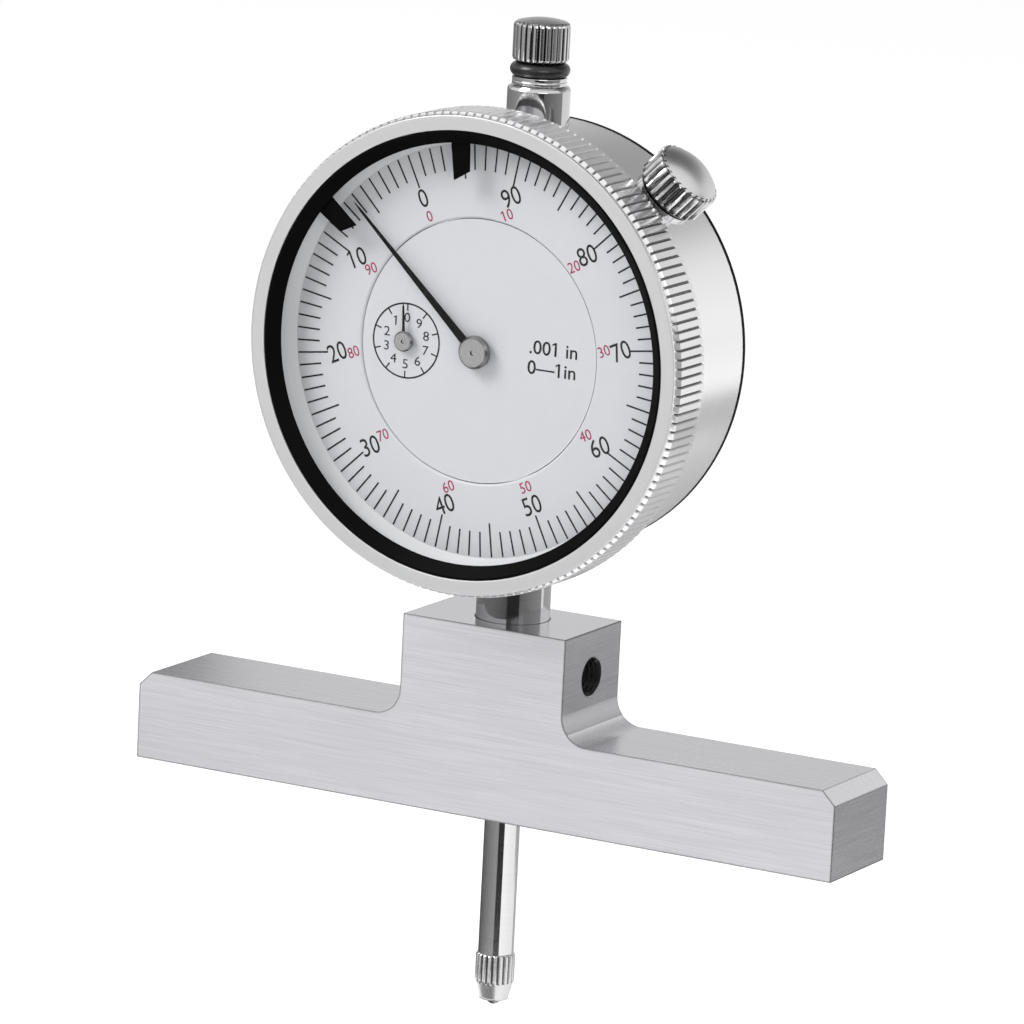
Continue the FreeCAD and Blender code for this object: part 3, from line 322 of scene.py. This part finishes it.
def brass():
    f = new_finish("brass")
    x, y, z = f.axes(f.place(IN_MM, (0, 0, -DIAL_HEIGHT * MM)))
    radius = f.maths("SQRT", x * x + z * z)
    rings = f.noise(f.vector(radius * 5, y * 5, 0.5), 1, 3, 0.6)
    colour = f.blend(rings, (0.62, 0.45, 0.16, 1), (0.86, 0.66, 0.30, 1))
    return f.shade(Base_Color=colour, Metallic=1.0, Roughness=0.26 + (rings - 0.5) * 0.2,
                   Normal=f.bump(rings, 0.00001, 0.4))


# Finishes by slot, as carried by the nodes of the frame
finishes = {
    "ground_steel": ground_steel(),
    "stem_steel": turned_metal("stem_steel", 0.6, 0.075, 0.002),
    "spindle_steel": turned_metal("spindle_steel", 0.67, 0.10, 0.002),
    "point_steel": turned_metal("point_steel", 0.66, 0.12, 0.003, facing=ABOVE, satin=0.3),
    # The ball's steel is painted far darker than the other steels, as painted shade
    "ball_steel": turned_metal("ball_steel", 0.22, 0.12, 0.001),
    "case_metal": turned_metal("case_metal", 0.88, 0.24, 0.001, DIAL_AXIS, TO_DIAL, contrast=0.03),
    # The bezel's front faces and its knurl grooves carry painted shade
    "bezel_metal": turned_metal("bezel_metal", 0.86, 0.2, 0.002, DIAL_AXIS, TO_DIAL, facing=AHEAD,
                                satin=0.42, contrast=0.04, groove=(30.2, 30.45), painted_face_level=0.78,
                                metallic=0.72, span=(-16.5, -9.8)),
    "hub_steel": turned_metal("hub_steel", 0.55, 0.28, 0.004, DIAL_AXIS, TO_DIAL),
    "screw_steel": turned_metal("screw_steel", 0.62, 0.28, 0.006, DIAL_AXIS, TO_DIAL),
    "spring_steel": turned_metal("spring_steel", 0.5, 0.3, 0.004, SPINDLE_AXIS, UP),
    "black_ring": black_paint("black_ring", 0.0025, 0.45, 0.03),
    "pointer_black": black_paint("pointer_black", 0.008, 0.4, 0.1),
    "dark_screw": black_paint("dark_screw", 0.01, 0.3, 0.15),
    "dial_white": dial_paint("dial_white", (0.74, 0.75, 0.78)),
    "wall_white": dial_paint("wall_white", (0.80, 0.81, 0.83), 0.35),
    "clear": crystal_glass(),
    "black_rubber": rubber(),
    "brass": brass(),
}

# Finishes of single pieces
black_ink = print_ink("black_ink", (0.006, 0.006, 0.008))
red_ink = print_ink("red_ink", (0.33, 0.006, 0.075))
# These knurls carry painted shade in their grooves
knob_steel = turned_metal("knob_steel", 0.7, 0.12, 0.003, facing=ABOVE, satin=0.3, groove=(3.3, 3.58))
knurl_steel = turned_metal("knurl_steel", 0.64, 0.28, 0.003, facing=BELOW, satin=0.3,
                           groove=(2.35, 2.5), span=(-23.1, -19.4))
clamp_steel = turned_metal("clamp_steel", 0.66, 0.12, 0.003, CLAMP_AXIS, TO_CLAMP, facing=ALONG_CLAMP,
                           satin=0.3, groove=(4.3, 4.6))

for row in frame["record"]["subparts"]:
    node = frame["nodes"][row["node"]]
    node.data.materials.clear()
    node.data.materials.append(finishes[row["material_slot"]])


# Surfaces

def in_scene(name, mesh, material):
    """Puts a mesh in the scene, at the origin, in one material."""
    mesh.materials.append(material)
    made = bpy.data.objects.new(name, mesh)
    bpy.context.scene.collection.objects.link(made)
    return made


def piece(name, points, faces, slot, body, smooth=38, material=None):
    """A mesh at the origin from points in millimetres, merged, facing outwards, riding on a body."""
    mesh = bpy.data.meshes.new(name)
    points = np.asarray(points, float).reshape(-1, 3) * MM
    faces = np.asarray(faces).reshape(-1, np.asarray(faces).shape[-1])
    mesh.from_pydata(points, [], faces.tolist())
    close_up(mesh)
    mesh.polygons.foreach_set("use_smooth", np.ones(len(mesh.polygons), bool))
    mesh.set_sharp_from_angle(angle=math.radians(smooth))
    made = in_scene(name, mesh, material or finishes[slot])
    even = made.modifiers.new("even_normals", "WEIGHTED_NORMAL")
    even.keep_sharp = True
    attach(made, body)
    return made


def close_up(mesh):
    """Merges the seam and the poles, and turns the faces outwards."""
    work = bmesh.new()
    work.from_mesh(mesh)
    bmesh.ops.remove_doubles(work, verts=work.verts, dist=1e-7)
    bmesh.ops.dissolve_degenerate(work, edges=work.edges, dist=1e-7)
    bmesh.ops.recalc_face_normals(work, faces=work.faces)
    work.to_mesh(mesh)
    work.free()


def grid_faces(rows, columns, wrap_rows=False, wrap_columns=False):
    """Quads over a grid of points numbered row by row, each joined to the next row and column."""
    r = np.arange(rows if wrap_rows else rows - 1)
    c = np.arange(columns if wrap_columns else columns - 1)
    r, c = np.meshgrid(r, c, indexing="ij")
    below, right = (r + 1) % rows, (c + 1) % columns
    quads = np.stack([r * columns + c, r * columns + right, below * columns + right, below * columns + c], -1)
    return quads.reshape(-1, 4)


def softened(corners, reach, steps=4, closed=True):
    """Each corner becomes a quadratic curve from a point on one side of it to a point on the other."""
    p = np.asarray(corners, float)
    before = np.roll(p, 1, 0) - p
    after = np.roll(p, -1, 0) - p
    if not closed:
        before[0], after[-1] = 0, 0
    size = np.minimum(np.linalg.norm(before, axis=1), np.linalg.norm(after, axis=1)) * 0.45
    size = np.minimum(size, reach)[:, None]
    start = p + before * size / np.maximum(np.linalg.norm(before, axis=1), 1e-9)[:, None]
    end = p + after * size / np.maximum(np.linalg.norm(after, axis=1), 1e-9)[:, None]
    t = np.linspace(0, 1, steps)[None, :, None]
    curve = (1 - t) ** 2 * start[:, None] + 2 * t * (1 - t) * p[:, None] + t ** 2 * end[:, None]
    return curve.reshape(-1, p.shape[1])


def turned(profile, angles, wave=None):
    """Profile rows of (root radius, crest radius, height) carried round Z: the radius at an angle is
    the root plus the wave, from 0 to 1, times the step from root to crest."""
    root, crest, height = np.asarray(profile, float).T
    wave = np.zeros(len(angles)) if wave is None else wave
    radius = root[None, :] + wave[:, None] * (crest - root)[None, :]
    x = radius * np.cos(angles)[:, None]
    y = radius * np.sin(angles)[:, None]
    return np.stack([x, y, np.broadcast_to(height, x.shape)], -1)


def plain(profile):
    """(radius, height) rows as rows of root, crest and height."""
    p = np.asarray(profile, float)
    return np.column_stack([p[:, 0], p[:, 0], p[:, 1]])


def even_angles(count):
    return np.arange(count) * 2 * np.pi / count


def ridge_angles(count, shares, heights):
    """Angles and wave of a ring of equal ridges: each ridge has its corners at these shares of a pitch."""
    start = np.arange(count)[:, None]
    angles = (start + np.asarray(shares)[None, :]) * 2 * np.pi / count
    wave = np.broadcast_to(np.asarray(heights, float), angles.shape)
    return angles.reshape(-1), wave.reshape(-1)


def towards_dial(points):
    """Height along Z becomes depth along Y, about the dial's axis."""
    p = np.asarray(points)
    return np.stack([p[..., 0], p[..., 2], -p[..., 1]], -1) + DIAL


def turned_piece(name, profile, slot, body, angles, wave=None, closed=False, turn=None, smooth=38,
                 material=None):
    """A piece carried round Z, and then turned onto its own axis where it has another one."""
    points = turned(profile, angles, wave)
    faces = grid_faces(len(angles), len(profile), wrap_rows=True, wrap_columns=closed)
    return piece(name, points if turn is None else turn(points), faces, slot, body, smooth, material)


# Bezel, its rings, the scale and the hubs

def bezel_ring():
    """Land, knurl with chamfered ridge ends, lip and bore in one closed ring."""
    bore, land, lip = 28.42, 30.3, 27.3
    root, crest, neck = 30.2, 30.75, 29.5
    ridge_front, ridge_back, back = -16.9, -9.9, -9.1
    ridges = 168
    ring = [(bore, bore, LAND_FRONT), (28.8, 28.8, LAND_FRONT), (29.9, 29.9, LAND_FRONT),
            (land, land, LAND_FRONT), (land, land, -16.95), (root, root, ridge_front),
            (root, crest, -16.45), (root, crest, -10.3), (root, root, ridge_back),
            (neck, neck, ridge_back), (neck, neck, back), (lip, lip, back), (lip, lip, -12.3),
            (bore, bore, SCALE_BACK)]
    angles, wave = ridge_angles(ridges, (0.0, 0.1, 0.22, 0.88), (0, 0, 1, 1))
    made = turned_piece("bezel_knurled", softened(ring, 0.12, 3), "bezel_metal", "bezel", angles, wave,
                        closed=True, turn=towards_dial, smooth=32)
    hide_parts("bezel")


def black_dial_ring():
    """Ring in front of the crystal: a flat face, then a bevel down to a fine lip by the dial."""
    front, lip, inner = -17.4, -16.3, 26.71
    ring = plain([(SEAT_R, front), (SEAT_R, CRYSTAL_FRONT), (inner, CRYSTAL_FRONT), (inner, lip),
                  (28.1, front)])
    made = turned_piece("glass_ring_black", softened(ring, 0.08, 3), "black_ring", "bezel",
                        even_angles(ROUND_STEPS), closed=True, turn=towards_dial)
    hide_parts("glass_ring")


def gasket_lip():
    """Black gasket at the back of the case, squeezed out a little over its edge."""
    inner, case_edge, outer = 25.3, 27.88, 27.95
    lip, front, back = 5.78, 6.0, 6.3
    ring = plain([(inner, front), (inner, back), (outer, back), (outer, lip), (case_edge, lip),
                  (case_edge, front)])
    made = turned_piece("back_gasket_lip", ring, "black_rubber", "gauge_body", even_angles(ROUND_STEPS),
                        closed=True, turn=towards_dial, smooth=30,
                        material=black_paint("gasket_black", 0.002, 0.5, 0.05))
    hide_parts("back_gasket")


def scale_plate():
    """Scale ring with a slightly rounded inner edge, clear of the centre dial."""
    ring = plain([(17.2, SCALE_FACE), (17.08, SCALE_FACE + 0.02), (16.95, SCALE_FACE + 0.09),
                  (16.87, SCALE_FACE + 0.2), (16.86, SCALE_BACK), (SEAT_R, SCALE_BACK),
                  (SEAT_R, SCALE_FACE)])
    made = turned_piece("scale_plate", ring, "dial_white", "bezel", even_angles(ROUND_STEPS),
                        closed=True, turn=towards_dial)
    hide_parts("scale_ring")


def wall_cone():
    """Light ring that widens from the scale's edge to the crystal."""
    foot_r, mouth_r = 26.3, 28.2
    ring = plain([(SEAT_R, WALL_FRONT), (SEAT_R, SCALE_FACE), (foot_r, SCALE_FACE), (mouth_r, WALL_FRONT)])
    made = turned_piece("dial_wall_cone", ring, "wall_white", "bezel", even_angles(ROUND_STEPS),
                        closed=True, turn=towards_dial, smooth=30)
    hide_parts("dial_wall_ring")


def hub(name, node, body, centre, r, front, depth, hole_r):
    """Turned disc: a flat face with a bevelled rim and a small hole sunk in its middle."""
    steps, sunk = 96, 0.4
    rim = 0.14 * r
    back = front + depth
    rows = [(0, back), (r, back), (r, front + rim), (r - rim, front), (hole_r + 0.05, front),
            (hole_r, front + 0.06), (hole_r, front + sunk), (0, front + sunk)]
    points = towards_dial(turned(plain(rows), even_angles(steps))) + centre - DIAL
    finish = hub_metal(name, (-centre[0] * MM, DIAL_HEIGHT * MM, 0), r, hole_r)
    faces = grid_faces(steps, len(rows), wrap_rows=True)
    made = piece(name, points, faces, "hub_steel", body, 20, finish)
    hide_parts(node)


# Stem, upper bushing and stop collar

def tube(name, corners, slot, body, node):
    """A closed ring of this section, its corners broken, carried smoothly round Z."""
    made = turned_piece(name, softened(plain(corners), 0.07, 3), slot, body, even_angles(160), closed=True)
    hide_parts(node)


def stem():
    """Tube with a narrower middle in its bore and a chamfered foot."""
    bore, neck, outer = 3.22, 2.6, 4.7625
    foot, neck_low, neck_high, top = 7.6, 16.6, 29.5, 38.5
    tube("stem_polished", [(bore, foot), (4.36, foot), (outer, 8.0), (outer, top), (bore, top),
                           (bore, neck_high), (neck, neck_high), (neck, neck_low), (bore, neck_low)],
         "stem_steel", "gauge_body", "stem")


def upper_bushing():
    """Tube with a rounded shoulder on top."""
    bore, outer, foot, top = 2.35, 4.03, 84.2, 93.9
    tube("upper_bushing_polished", [(bore, foot), (outer, foot), (outer, 93.4), (3.85, 93.75),
                                    (3.53, top), (bore, top)], "stem_steel", "gauge_body", "upper_bushing")


def stop_collar():
    """Collar with a fine groove round its middle."""
    bore, outer, groove_r, foot, top = 1.52, 3.5, 3.44, 94.0, 95.0
    tube("stop_collar_turned", [(bore, foot), (outer, foot), (outer, 94.42), (groove_r, 94.48),
                                (outer, 94.54), (outer, top), (bore, top)],
         "spindle_steel", "spindle", "stop_collar")


# Lifting knob, rubber ring, thumb screw and contact point

def dome(foot_r, foot, height, steps=10):
    """Rows from the foot of a spherical cap up to its pole."""
    sphere = (foot_r ** 2 + height ** 2) / (2 * height)
    r = foot_r * np.cos(np.linspace(0, np.pi / 2, steps))
    z = foot + height - sphere + np.sqrt(sphere ** 2 - r ** 2)
    return np.column_stack([r, r, z])


def knob():
    """Neck inside the rubber ring, knurled head and a low crown."""
    neck, root, crest = 1.98, 3.28, 3.62
    foot, head, ridges = 95.0, 96.8, 26
    base = [(0, 0, foot), (neck, neck, foot), (neck, neck, head), (3.05, 3.05, head), (root, root, 97.0),
            (root, 3.5, 97.15), (root, crest, 97.45), (root, crest, 101.4), (root, 3.5, 101.75),
            (3.26, 3.26, 101.9)]
    rows = np.vstack([np.asarray(base), dome(3.14, 102.0, 0.45)])
    angles, wave = ridge_angles(ridges, (0, 0.1, 0.28, 0.42, 0.78, 0.92), (0, 0.0, 0.75, 1, 1, 0.75))
    made = turned_piece("lifting_knob_knurled", rows, "point_steel", "spindle", angles, wave,
                        material=knob_steel)
    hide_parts("lifting_knob")


def rubber_ring():
    """Ring of round section between the collar and the knob."""
    middle_r, height, wide, tall = 2.9, 95.9, 0.93, 0.9
    turn = even_angles(24)
    section = plain(np.column_stack([middle_r + wide * np.cos(turn), height + tall * np.sin(turn)]))
    made = turned_piece("bump_ring_round", section, "black_rubber", "spindle", even_angles(96), closed=True)
    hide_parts("bump_ring")


def onto_clamp(points):
    """Turns points built along Z onto the axis of the bezel clamp."""
    turn = np.array(Matrix.Rotation(math.radians(CLAMP_LEAN), 3, "Y"))
    return np.asarray(points) @ turn.T + DIAL + np.array([0, CLAMP_DEPTH, 0])


def thumb_screw():
    """Screw, knurled head and a high crown. Heights are distances from the dial's centre."""
    screw, root, crest = 1.5, 4.22, 4.65
    tip, head, ridges = 23.4, 30.75, 28
    base = [(0, 0, tip), (screw, screw, tip), (screw, screw, head), (3.85, 3.85, head), (4.2, 4.2, 30.95),
            (root, root, 31.1), (root, crest, 31.4), (root, crest, 34.75), (root, 4.5, 34.98),
            (4.2, 4.2, 35.1)]
    rows = np.vstack([np.asarray(base), dome(4.12, 35.16, 1.36)])
    angles, wave = ridge_angles(ridges, (0, 0.12, 0.42, 0.62, 0.92), (0, 0.1, 1, 1, 0.1))
    made = turned_piece("bezel_clamp_knob", rows, "point_steel", "clamp_screw", angles, wave, turn=onto_clamp,
                        material=clamp_steel)
    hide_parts("bezel_clamp_screw")


def point():
    """Thread, knurl, conical nose, fine rim and the seat of the ball."""
    thread, root, crest, seat = 1.2, 2.33, 2.55, 1.1
    top, knurl_top, end, ridges = -15.2, -19.2, -25.42, 20
    rows = [(0, 0, top), (thread, thread, top), (thread, thread, knurl_top), (2.2, 2.2, knurl_top),
            (root, 2.38, -19.3), (root, crest, -19.5), (root, crest, -22.6), (root, 2.48, -23.1),
            (2.35, 2.35, -23.25), (2.32, 2.32, -23.35), (1.87, 1.87, -25.1), (1.84, 1.84, -25.2),
            (1.86, 1.86, -25.36), (1.78, 1.78, end), (seat, seat, end), (0.9, 0.9, -25.0), (0, 0, -24.3)]
    angles, wave = ridge_angles(ridges, (0, 0.14, 0.34, 0.42, 0.78, 0.86), (0, 0, 0.8, 1, 1, 0.8))
    made = turned_piece("contact_point_knurled", rows, "point_steel", "spindle", angles, wave,
                        material=knurl_steel)
    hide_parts("contact_point")


def hole_thread():
    """A ridge of triangular section carried along a helix inside the cross hole."""
    turns, pitch, steps = 5.2, 0.7, 48
    start, height = 8.1, 19.0
    foot_r, crest_r, half = 2.41, 2.05, 0.34
    a = np.linspace(0, turns * 2 * np.pi, int(turns * steps))
    section = np.array([(-half, foot_r), (0, crest_r), (half, foot_r)])
    along = start + pitch * a[:, None] / (2 * np.pi) + section[None, :, 0]
    r = np.broadcast_to(section[None, :, 1], along.shape)
    points = np.stack([along, r * np.cos(a)[:, None], height + r * np.sin(a)[:, None]], -1)
    end = len(a) * 3
    faces = grid_faces(len(a), 3, wrap_columns=True).tolist() + [[0, 1, 2], [end - 3, end - 2, end - 1]]
    mesh = bpy.data.meshes.new("cross_hole_thread")
    mesh.from_pydata(points.reshape(-1, 3) * MM, [], faces)
    close_up(mesh)
    made = in_scene("cross_hole_thread", mesh, finishes["dark_screw"])
    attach(made, "gauge_body")


# Print on the dial

def on_dial(radius, angle, centre=DIAL):
    """Place at a radius and an angle, in degrees clockwise from straight up."""
    a = np.radians(angle)
    return centre + np.stack([radius * np.sin(a), np.zeros_like(a * radius), radius * np.cos(a)], -1)


def strokes(name, inner, outer, width, angles, face, centre, material, body, slot):
    """Radial strokes as flat closed bars: one bar per angle, from its inner to its outer radius."""
    angles = np.asarray(angles, float)
    inner = np.broadcast_to(inner, angles.shape)
    outer = np.broadcast_to(outer, angles.shape)
    a = np.radians(angles)
    along = np.stack([np.sin(a), 0 * a, np.cos(a)], -1)
    across = np.stack([np.cos(a), 0 * a, -np.sin(a)], -1)
    corners = []
    for depth in (0, INK):
        for r, side in ((inner, -1), (outer, -1), (outer, 1), (inner, 1)):
            corners.append(along * r[:, None] + across * side * width / 2 + np.array([0, face - depth, 0]))
    points = np.stack(corners, 1) + centre
    box = np.array([(0, 1, 2, 3), (4, 5, 6, 7), (0, 1, 5, 4), (1, 2, 6, 5), (2, 3, 7, 6), (3, 0, 4, 7)])
    faces = box[None] + 8 * np.arange(len(angles))[:, None, None]
    return piece(name, points, faces.reshape(-1, 4), slot, body, 30, material)


def glyph_edges(flat, polygons):
    """Left edges of the separate outlines of a text's mesh, from left to right."""
    group = np.arange(len(flat))
    for corners in polygons:
        joined = np.isin(group, group[corners])
        group[joined] = group[corners[0]]
    return sorted(flat[group == g, 0].min() for g in np.unique(group))


def words(name, labels, face, material, body, narrow, weight=0.0):
    """Printed text. Each label is (text, centre, height, turn in degrees clockwise). A 1 gets a small
    flag at its top left, which the font leaves out. The flag's corners are shares of the text's height."""
    flag = np.array([(0.03, 0), (0.03, -0.14), (-0.19, -0.25), (-0.19, -0.14)])
    verts, faces = [], []
    for text, centre, height, turn in labels:
        curve = bpy.data.curves.new(name, "FONT")
        curve.body = text
        curve.align_x = "CENTER"
        curve.offset = weight
        curve.resolution_u = 4
        holder = bpy.data.objects.new(name, curve)
        mesh = bpy.data.meshes.new_from_object(holder)
        flat = np.empty(len(mesh.vertices) * 3)
        mesh.vertices.foreach_get("co", flat)
        flat = flat.reshape(-1, 3)
        low, high = flat.min(0), flat.max(0)
        polygons = [list(polygon.vertices) for polygon in mesh.polygons]
        drawn = text.replace(" ", "")
        tall = high[1] - low[1]
        if "1" in drawn:
            edge = glyph_edges(flat, polygons)[drawn.index("1")]
            corners = flag * tall + (edge, high[1])
            polygons.append([len(flat) + k for k in range(4)])
            flat = np.vstack([flat, np.column_stack([corners, np.zeros(4)])])
            low = flat.min(0)
        size = height / tall
        x = (flat[:, 0] - (low[0] + high[0]) / 2) * size * narrow
        z = (flat[:, 1] - (low[1] + high[1]) / 2) * size
        a = math.radians(turn)
        place = np.stack([x * math.cos(a) + z * math.sin(a), np.full(len(x), face),
                          z * math.cos(a) - x * math.sin(a)], -1)
        start = sum(len(v) for v in verts)
        verts.append(place + np.asarray(centre))
        faces += [[start + k for k in polygon] for polygon in polygons]
        bpy.data.objects.remove(holder)
        bpy.data.curves.remove(curve)
        bpy.data.meshes.remove(mesh)
    mesh = bpy.data.meshes.new(name)
    mesh.from_pydata(np.vstack(verts) * MM, [], faces)
    made = in_scene(name, mesh, material)
    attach(made, body)
    return made


def outer_scale():
    """A hundred marks, longer at every fifth, and two rows of numerals that run opposite ways."""
    short_from, long_from, marks_to, width = 22.95, 21.8, 26.15, 0.22
    black_r, black_height, red_r, red_height = 20.45, 2.35, 18.05, 1.38
    face = SCALE_FACE - LIFT
    marks = np.arange(MARKS)
    inner = np.where(marks % 5 == 0, long_from, short_from)
    angles = SCALE_TURN + marks * 360 / MARKS
    strokes("scale_marks", inner, marks_to, width, angles, face, DIAL, black_ink, "bezel", "dial_white")
    turns = [SCALE_TURN + 360 / TENS * k for k in range(TENS)]
    labels = [(str((TENS - k) % TENS * 10), on_dial(black_r, turn), black_height, SCALE_TURN)
              for k, turn in enumerate(turns)]
    words("scale_numerals", labels, face - LIFT, black_ink, "bezel", 0.86)
    labels = [(str(k * 10), on_dial(red_r, turn), red_height, SCALE_TURN) for k, turn in enumerate(turns)]
    words("scale_red_numerals", labels, face - LIFT, red_ink, "bezel", 0.9)


def counter_scale():
    """The small dial's marks, circle and numerals, and the graduation note to the right of the centre."""
    marks_from, marks_to, width = 3.85, 4.75, 0.18
    circle_inner, circle_outer, circle_steps = 4.65, 4.86, 120
    numerals_r, numerals_height, note_height = 2.98, 1.2, 1.78
    face = CENTRE_FACE - LIFT
    turns = 360 / TENS * np.arange(TENS)
    strokes("counter_marks", marks_from, marks_to, width, turns, face, COUNTER, black_ink, "gauge_body",
            "dial_white")
    circle = plain([(circle_inner, face), (circle_outer, face), (circle_outer, face - INK),
                    (circle_inner, face - INK)])
    points = towards_dial(turned(circle, even_angles(circle_steps))) + COUNTER - DIAL
    faces = grid_faces(circle_steps, len(circle), wrap_rows=True, wrap_columns=True)
    piece("counter_circle", points, faces, "dial_white", "gauge_body", 30, black_ink)
    labels = [(str((TENS - k) % TENS), on_dial(numerals_r, turn, COUNTER), numerals_height, 0)
              for k, turn in enumerate(turns)]
    words("counter_numerals", labels, face - LIFT, black_ink, "gauge_body", 1.12)
    labels = [(".001 in", DIAL + np.array([10.65, 0, 1.6]), note_height, 0),
              ("0—1in", DIAL + np.array([10.5, 0, -1.0]), note_height, 0)]
    words("graduation_note", labels, face - LIFT, black_ink, "gauge_body", 1.04, 0.008)


bezel_ring()
black_dial_ring()
scale_plate()
wall_cone()
gasket_lip()
hub("pointer_hub_turned", "pointer_hub", "centre_arbor", DIAL, 2.1, -14.25, 0.95, 0.26)
hub("counter_hub_turned", "counter_hub", "counter_arbor", COUNTER, 1.3, -13.6, 0.5, 0.2)
stem()
upper_bushing()
stop_collar()
knob()
rubber_ring()
thumb_screw()
point()
hole_thread()
outer_scale()
counter_scale()


# Stage: world, floor, cards that only metal sees, lamps and camera, in metres

FLOOR = -0.11
CARD_STEPS = 25


def seen_light(finish):
    """1 for what the camera sees directly, in a mirror or through glass."""
    rays = finish.node("LightPath", {}, {})
    out = {o.name: Channel(finish, o) for o in rays.output.node.outputs}
    return finish.clamped(out["Is Camera Ray"] + out["Is Glossy Ray"] + out["Is Transmission Ray"])


def make_world():
    world = bpy.data.worlds.new("studio")
    bpy.context.scene.world = world
    f = Finish(world)
    seen = seen_light(f)
    light = f.node("Background", {}, {"Color": (1, 1, 1, 1), "Strength": 0.4 + 0.6 * seen})
    f.node("OutputWorld", {}, {"Surface": light})


def make_floor():
    mesh = bpy.data.meshes.new("floor")
    side = 6.0
    corners = [(-side, -side, FLOOR), (side, -side, FLOOR), (side, side, FLOOR), (-side, side, FLOOR)]
    mesh.from_pydata(corners, [], [(0, 1, 2, 3)])
    f = new_finish("floor")
    seen = seen_light(f)
    cloth = f.node("BsdfDiffuse", {}, {"Color": (0.85, 0.85, 0.85, 1)})
    glow = f.node("Emission", {}, {"Color": (1, 1, 1, 1), "Strength": 0.6 * seen})
    both = f.node("AddShader", {}, {0: cloth, 1: glow})
    f.node("OutputMaterial", {}, {"Surface": both})
    floor = in_scene("floor", mesh, f.owner)


def metal_only(name, points, rows, columns, shares, first, last):
    """A card that only polished metal sees, through a grid of points. Its grey runs from first to last
    with the share of each point."""
    mesh = bpy.data.meshes.new(name)
    mesh.from_pydata(points.reshape(-1, 3), [], grid_faces(rows, columns).tolist())
    share = mesh.attributes.new("share", "FLOAT", "POINT")
    share.data.foreach_set("value", np.broadcast_to(shares, (rows, columns)).reshape(-1))
    f = new_finish(name)
    along = f.node("Attribute", {"attribute_name": "share"}, {}, "Fac")
    glow = f.node("Emission", {}, {"Color": f.blend(along, grey(first), grey(last)), "Strength": 1.0})
    f.node("OutputMaterial", {}, {"Surface": glow})
    made = in_scene(name, mesh, f.owner)
    made.visible_camera = False
    made.visible_diffuse = False
    made.visible_shadow = False


def card(name, start, end, low, high, first, last, radius=0.3):
    """An upright card that curves round the object. Angles are in degrees from the front towards the
    right."""
    a = np.radians(np.linspace(start, end, CARD_STEPS))[:, None]
    z = np.array([[low, high]])
    points = np.stack([radius * np.sin(a) + 0 * z, -radius * np.cos(a) + 0 * z, z + 0 * a], -1)
    metal_only(name, points, CARD_STEPS, 2, np.linspace(0, 1, CARD_STEPS)[:, None], first, last)


def card_floor(name, start, end, near, far, first, last):
    """A flat card just over the floor, from one radius to another."""
    a = np.radians(np.linspace(start, end, CARD_STEPS))
    r = np.array([near, far])
    x, y = np.outer(np.sin(a), r), -np.outer(np.cos(a), r)
    points = np.stack([x, y, np.full(x.shape, FLOOR + 0.002)], -1)
    metal_only(name, points, CARD_STEPS, 2, np.linspace(0, 1, CARD_STEPS)[:, None], first, last)


def card_sky(name, start, end):
    """A card behind and over the object: white low on the right, grey low on the left, dark overhead."""
    across, upwards, radius, centre = 29, 28, 0.45, (0, 0, 0.05)
    heights = [3, 20, 30, 50, 84]
    around = np.linspace(start, end, across)[:, None]
    rise = np.linspace(heights[0], heights[-1], upwards)[None, :]
    a, up = np.radians(around), np.radians(rise)
    points = np.stack([np.sin(a) * np.cos(up), -np.cos(a) * np.cos(up), np.sin(up) + 0 * a], -1)
    right = np.interp(rise, heights, [1.0, 0.86, 0.38, 0.14, 0.08])
    left = np.interp(rise, heights, [0.68, 0.6, 0.38, 0.14, 0.08])
    side = np.clip((around - 160) / 30, 0, 1)
    metal_only(name, radius * points + centre, across, upwards, right + (left - right) * side, 0, 1)


def lamp(name, place, power, size):
    """A square lamp that looks at the middle of the gauge."""
    middle = Vector((0, 0, 0.04))
    data = bpy.data.lights.new(name, "AREA")
    data.energy, data.size = power, size
    made = bpy.data.objects.new(name, data)
    made.location = place
    made.rotation_euler = (middle - Vector(place)).to_track_quat("-Z", "Y").to_euler()
    bpy.context.scene.collection.objects.link(made)


def make_camera():
    """Camera of the photograph, fitted to the edges of the base, the bezel and the stem."""
    place = (0.42789, -0.79472, 0.22448)
    yaw, pitch, roll = 0.49474, 0.20291, -0.05009
    data = bpy.data.cameras.new("camera")
    data.lens = 253.83
    data.sensor_width = 36
    data.clip_start, data.clip_end = 0.05, 20
    made = bpy.data.objects.new("camera", data)
    ahead = Vector((-math.sin(yaw) * math.cos(pitch), math.cos(yaw) * math.cos(pitch), -math.sin(pitch)))
    right = Vector((math.cos(yaw), math.sin(yaw), 0))
    down = ahead.cross(right)
    c, s = math.cos(roll), math.sin(roll)
    across, below = c * right + s * down, -s * right + c * down
    turn = Matrix((across, -below, -ahead)).transposed()
    made.matrix_world = Matrix.Translation(place) @ turn.to_4x4()
    bpy.context.scene.collection.objects.link(made)
    bpy.context.scene.camera = made


bpy.context.scene.view_settings.view_transform = "Standard"
make_world()
make_floor()
# Start and end in degrees, then lowest and highest point, then first and last grey
card("card_left", -160, -48, -0.05, 0.027, 0.26, 0.18)
card("card_left_high", -142, -48, 0.027, 0.13, 0.2, 0.4)
card("card_left_top", -48, 9, 0.03, 0.13, 0.4, 0.5)
card("card_left_stem", -48, 9, -0.05, -0.027, 0.18, 0.07)
card("card_left_spindle", -160, 9, -0.109, -0.05, 0.03, 0.38)
card("card_front", 9, 47, -0.109, 0.13, 0.03, 0.03)
card("card_right", 47, 124, -0.047, 0.13, 0.15, 0.36)
card("card_far_right", 134, 172, -0.085, -0.03, 0.5, 0.5)
# The same, with the nearest and farthest radius in place of the heights
card_floor("card_floor", -160, 34, 0.01, 0.14, 0.25, 0.25)
card_floor("card_floor_back", 156, 212, 0.2, 0.65, 0.62, 0.3)
card_sky("card_sky", 118, 262)
lamp("key", (-0.6, -0.7, 0.85), 9.3, 0.6)
lamp("fill", (0.75, -0.8, 0.35), 3.0, 0.7)
make_camera()
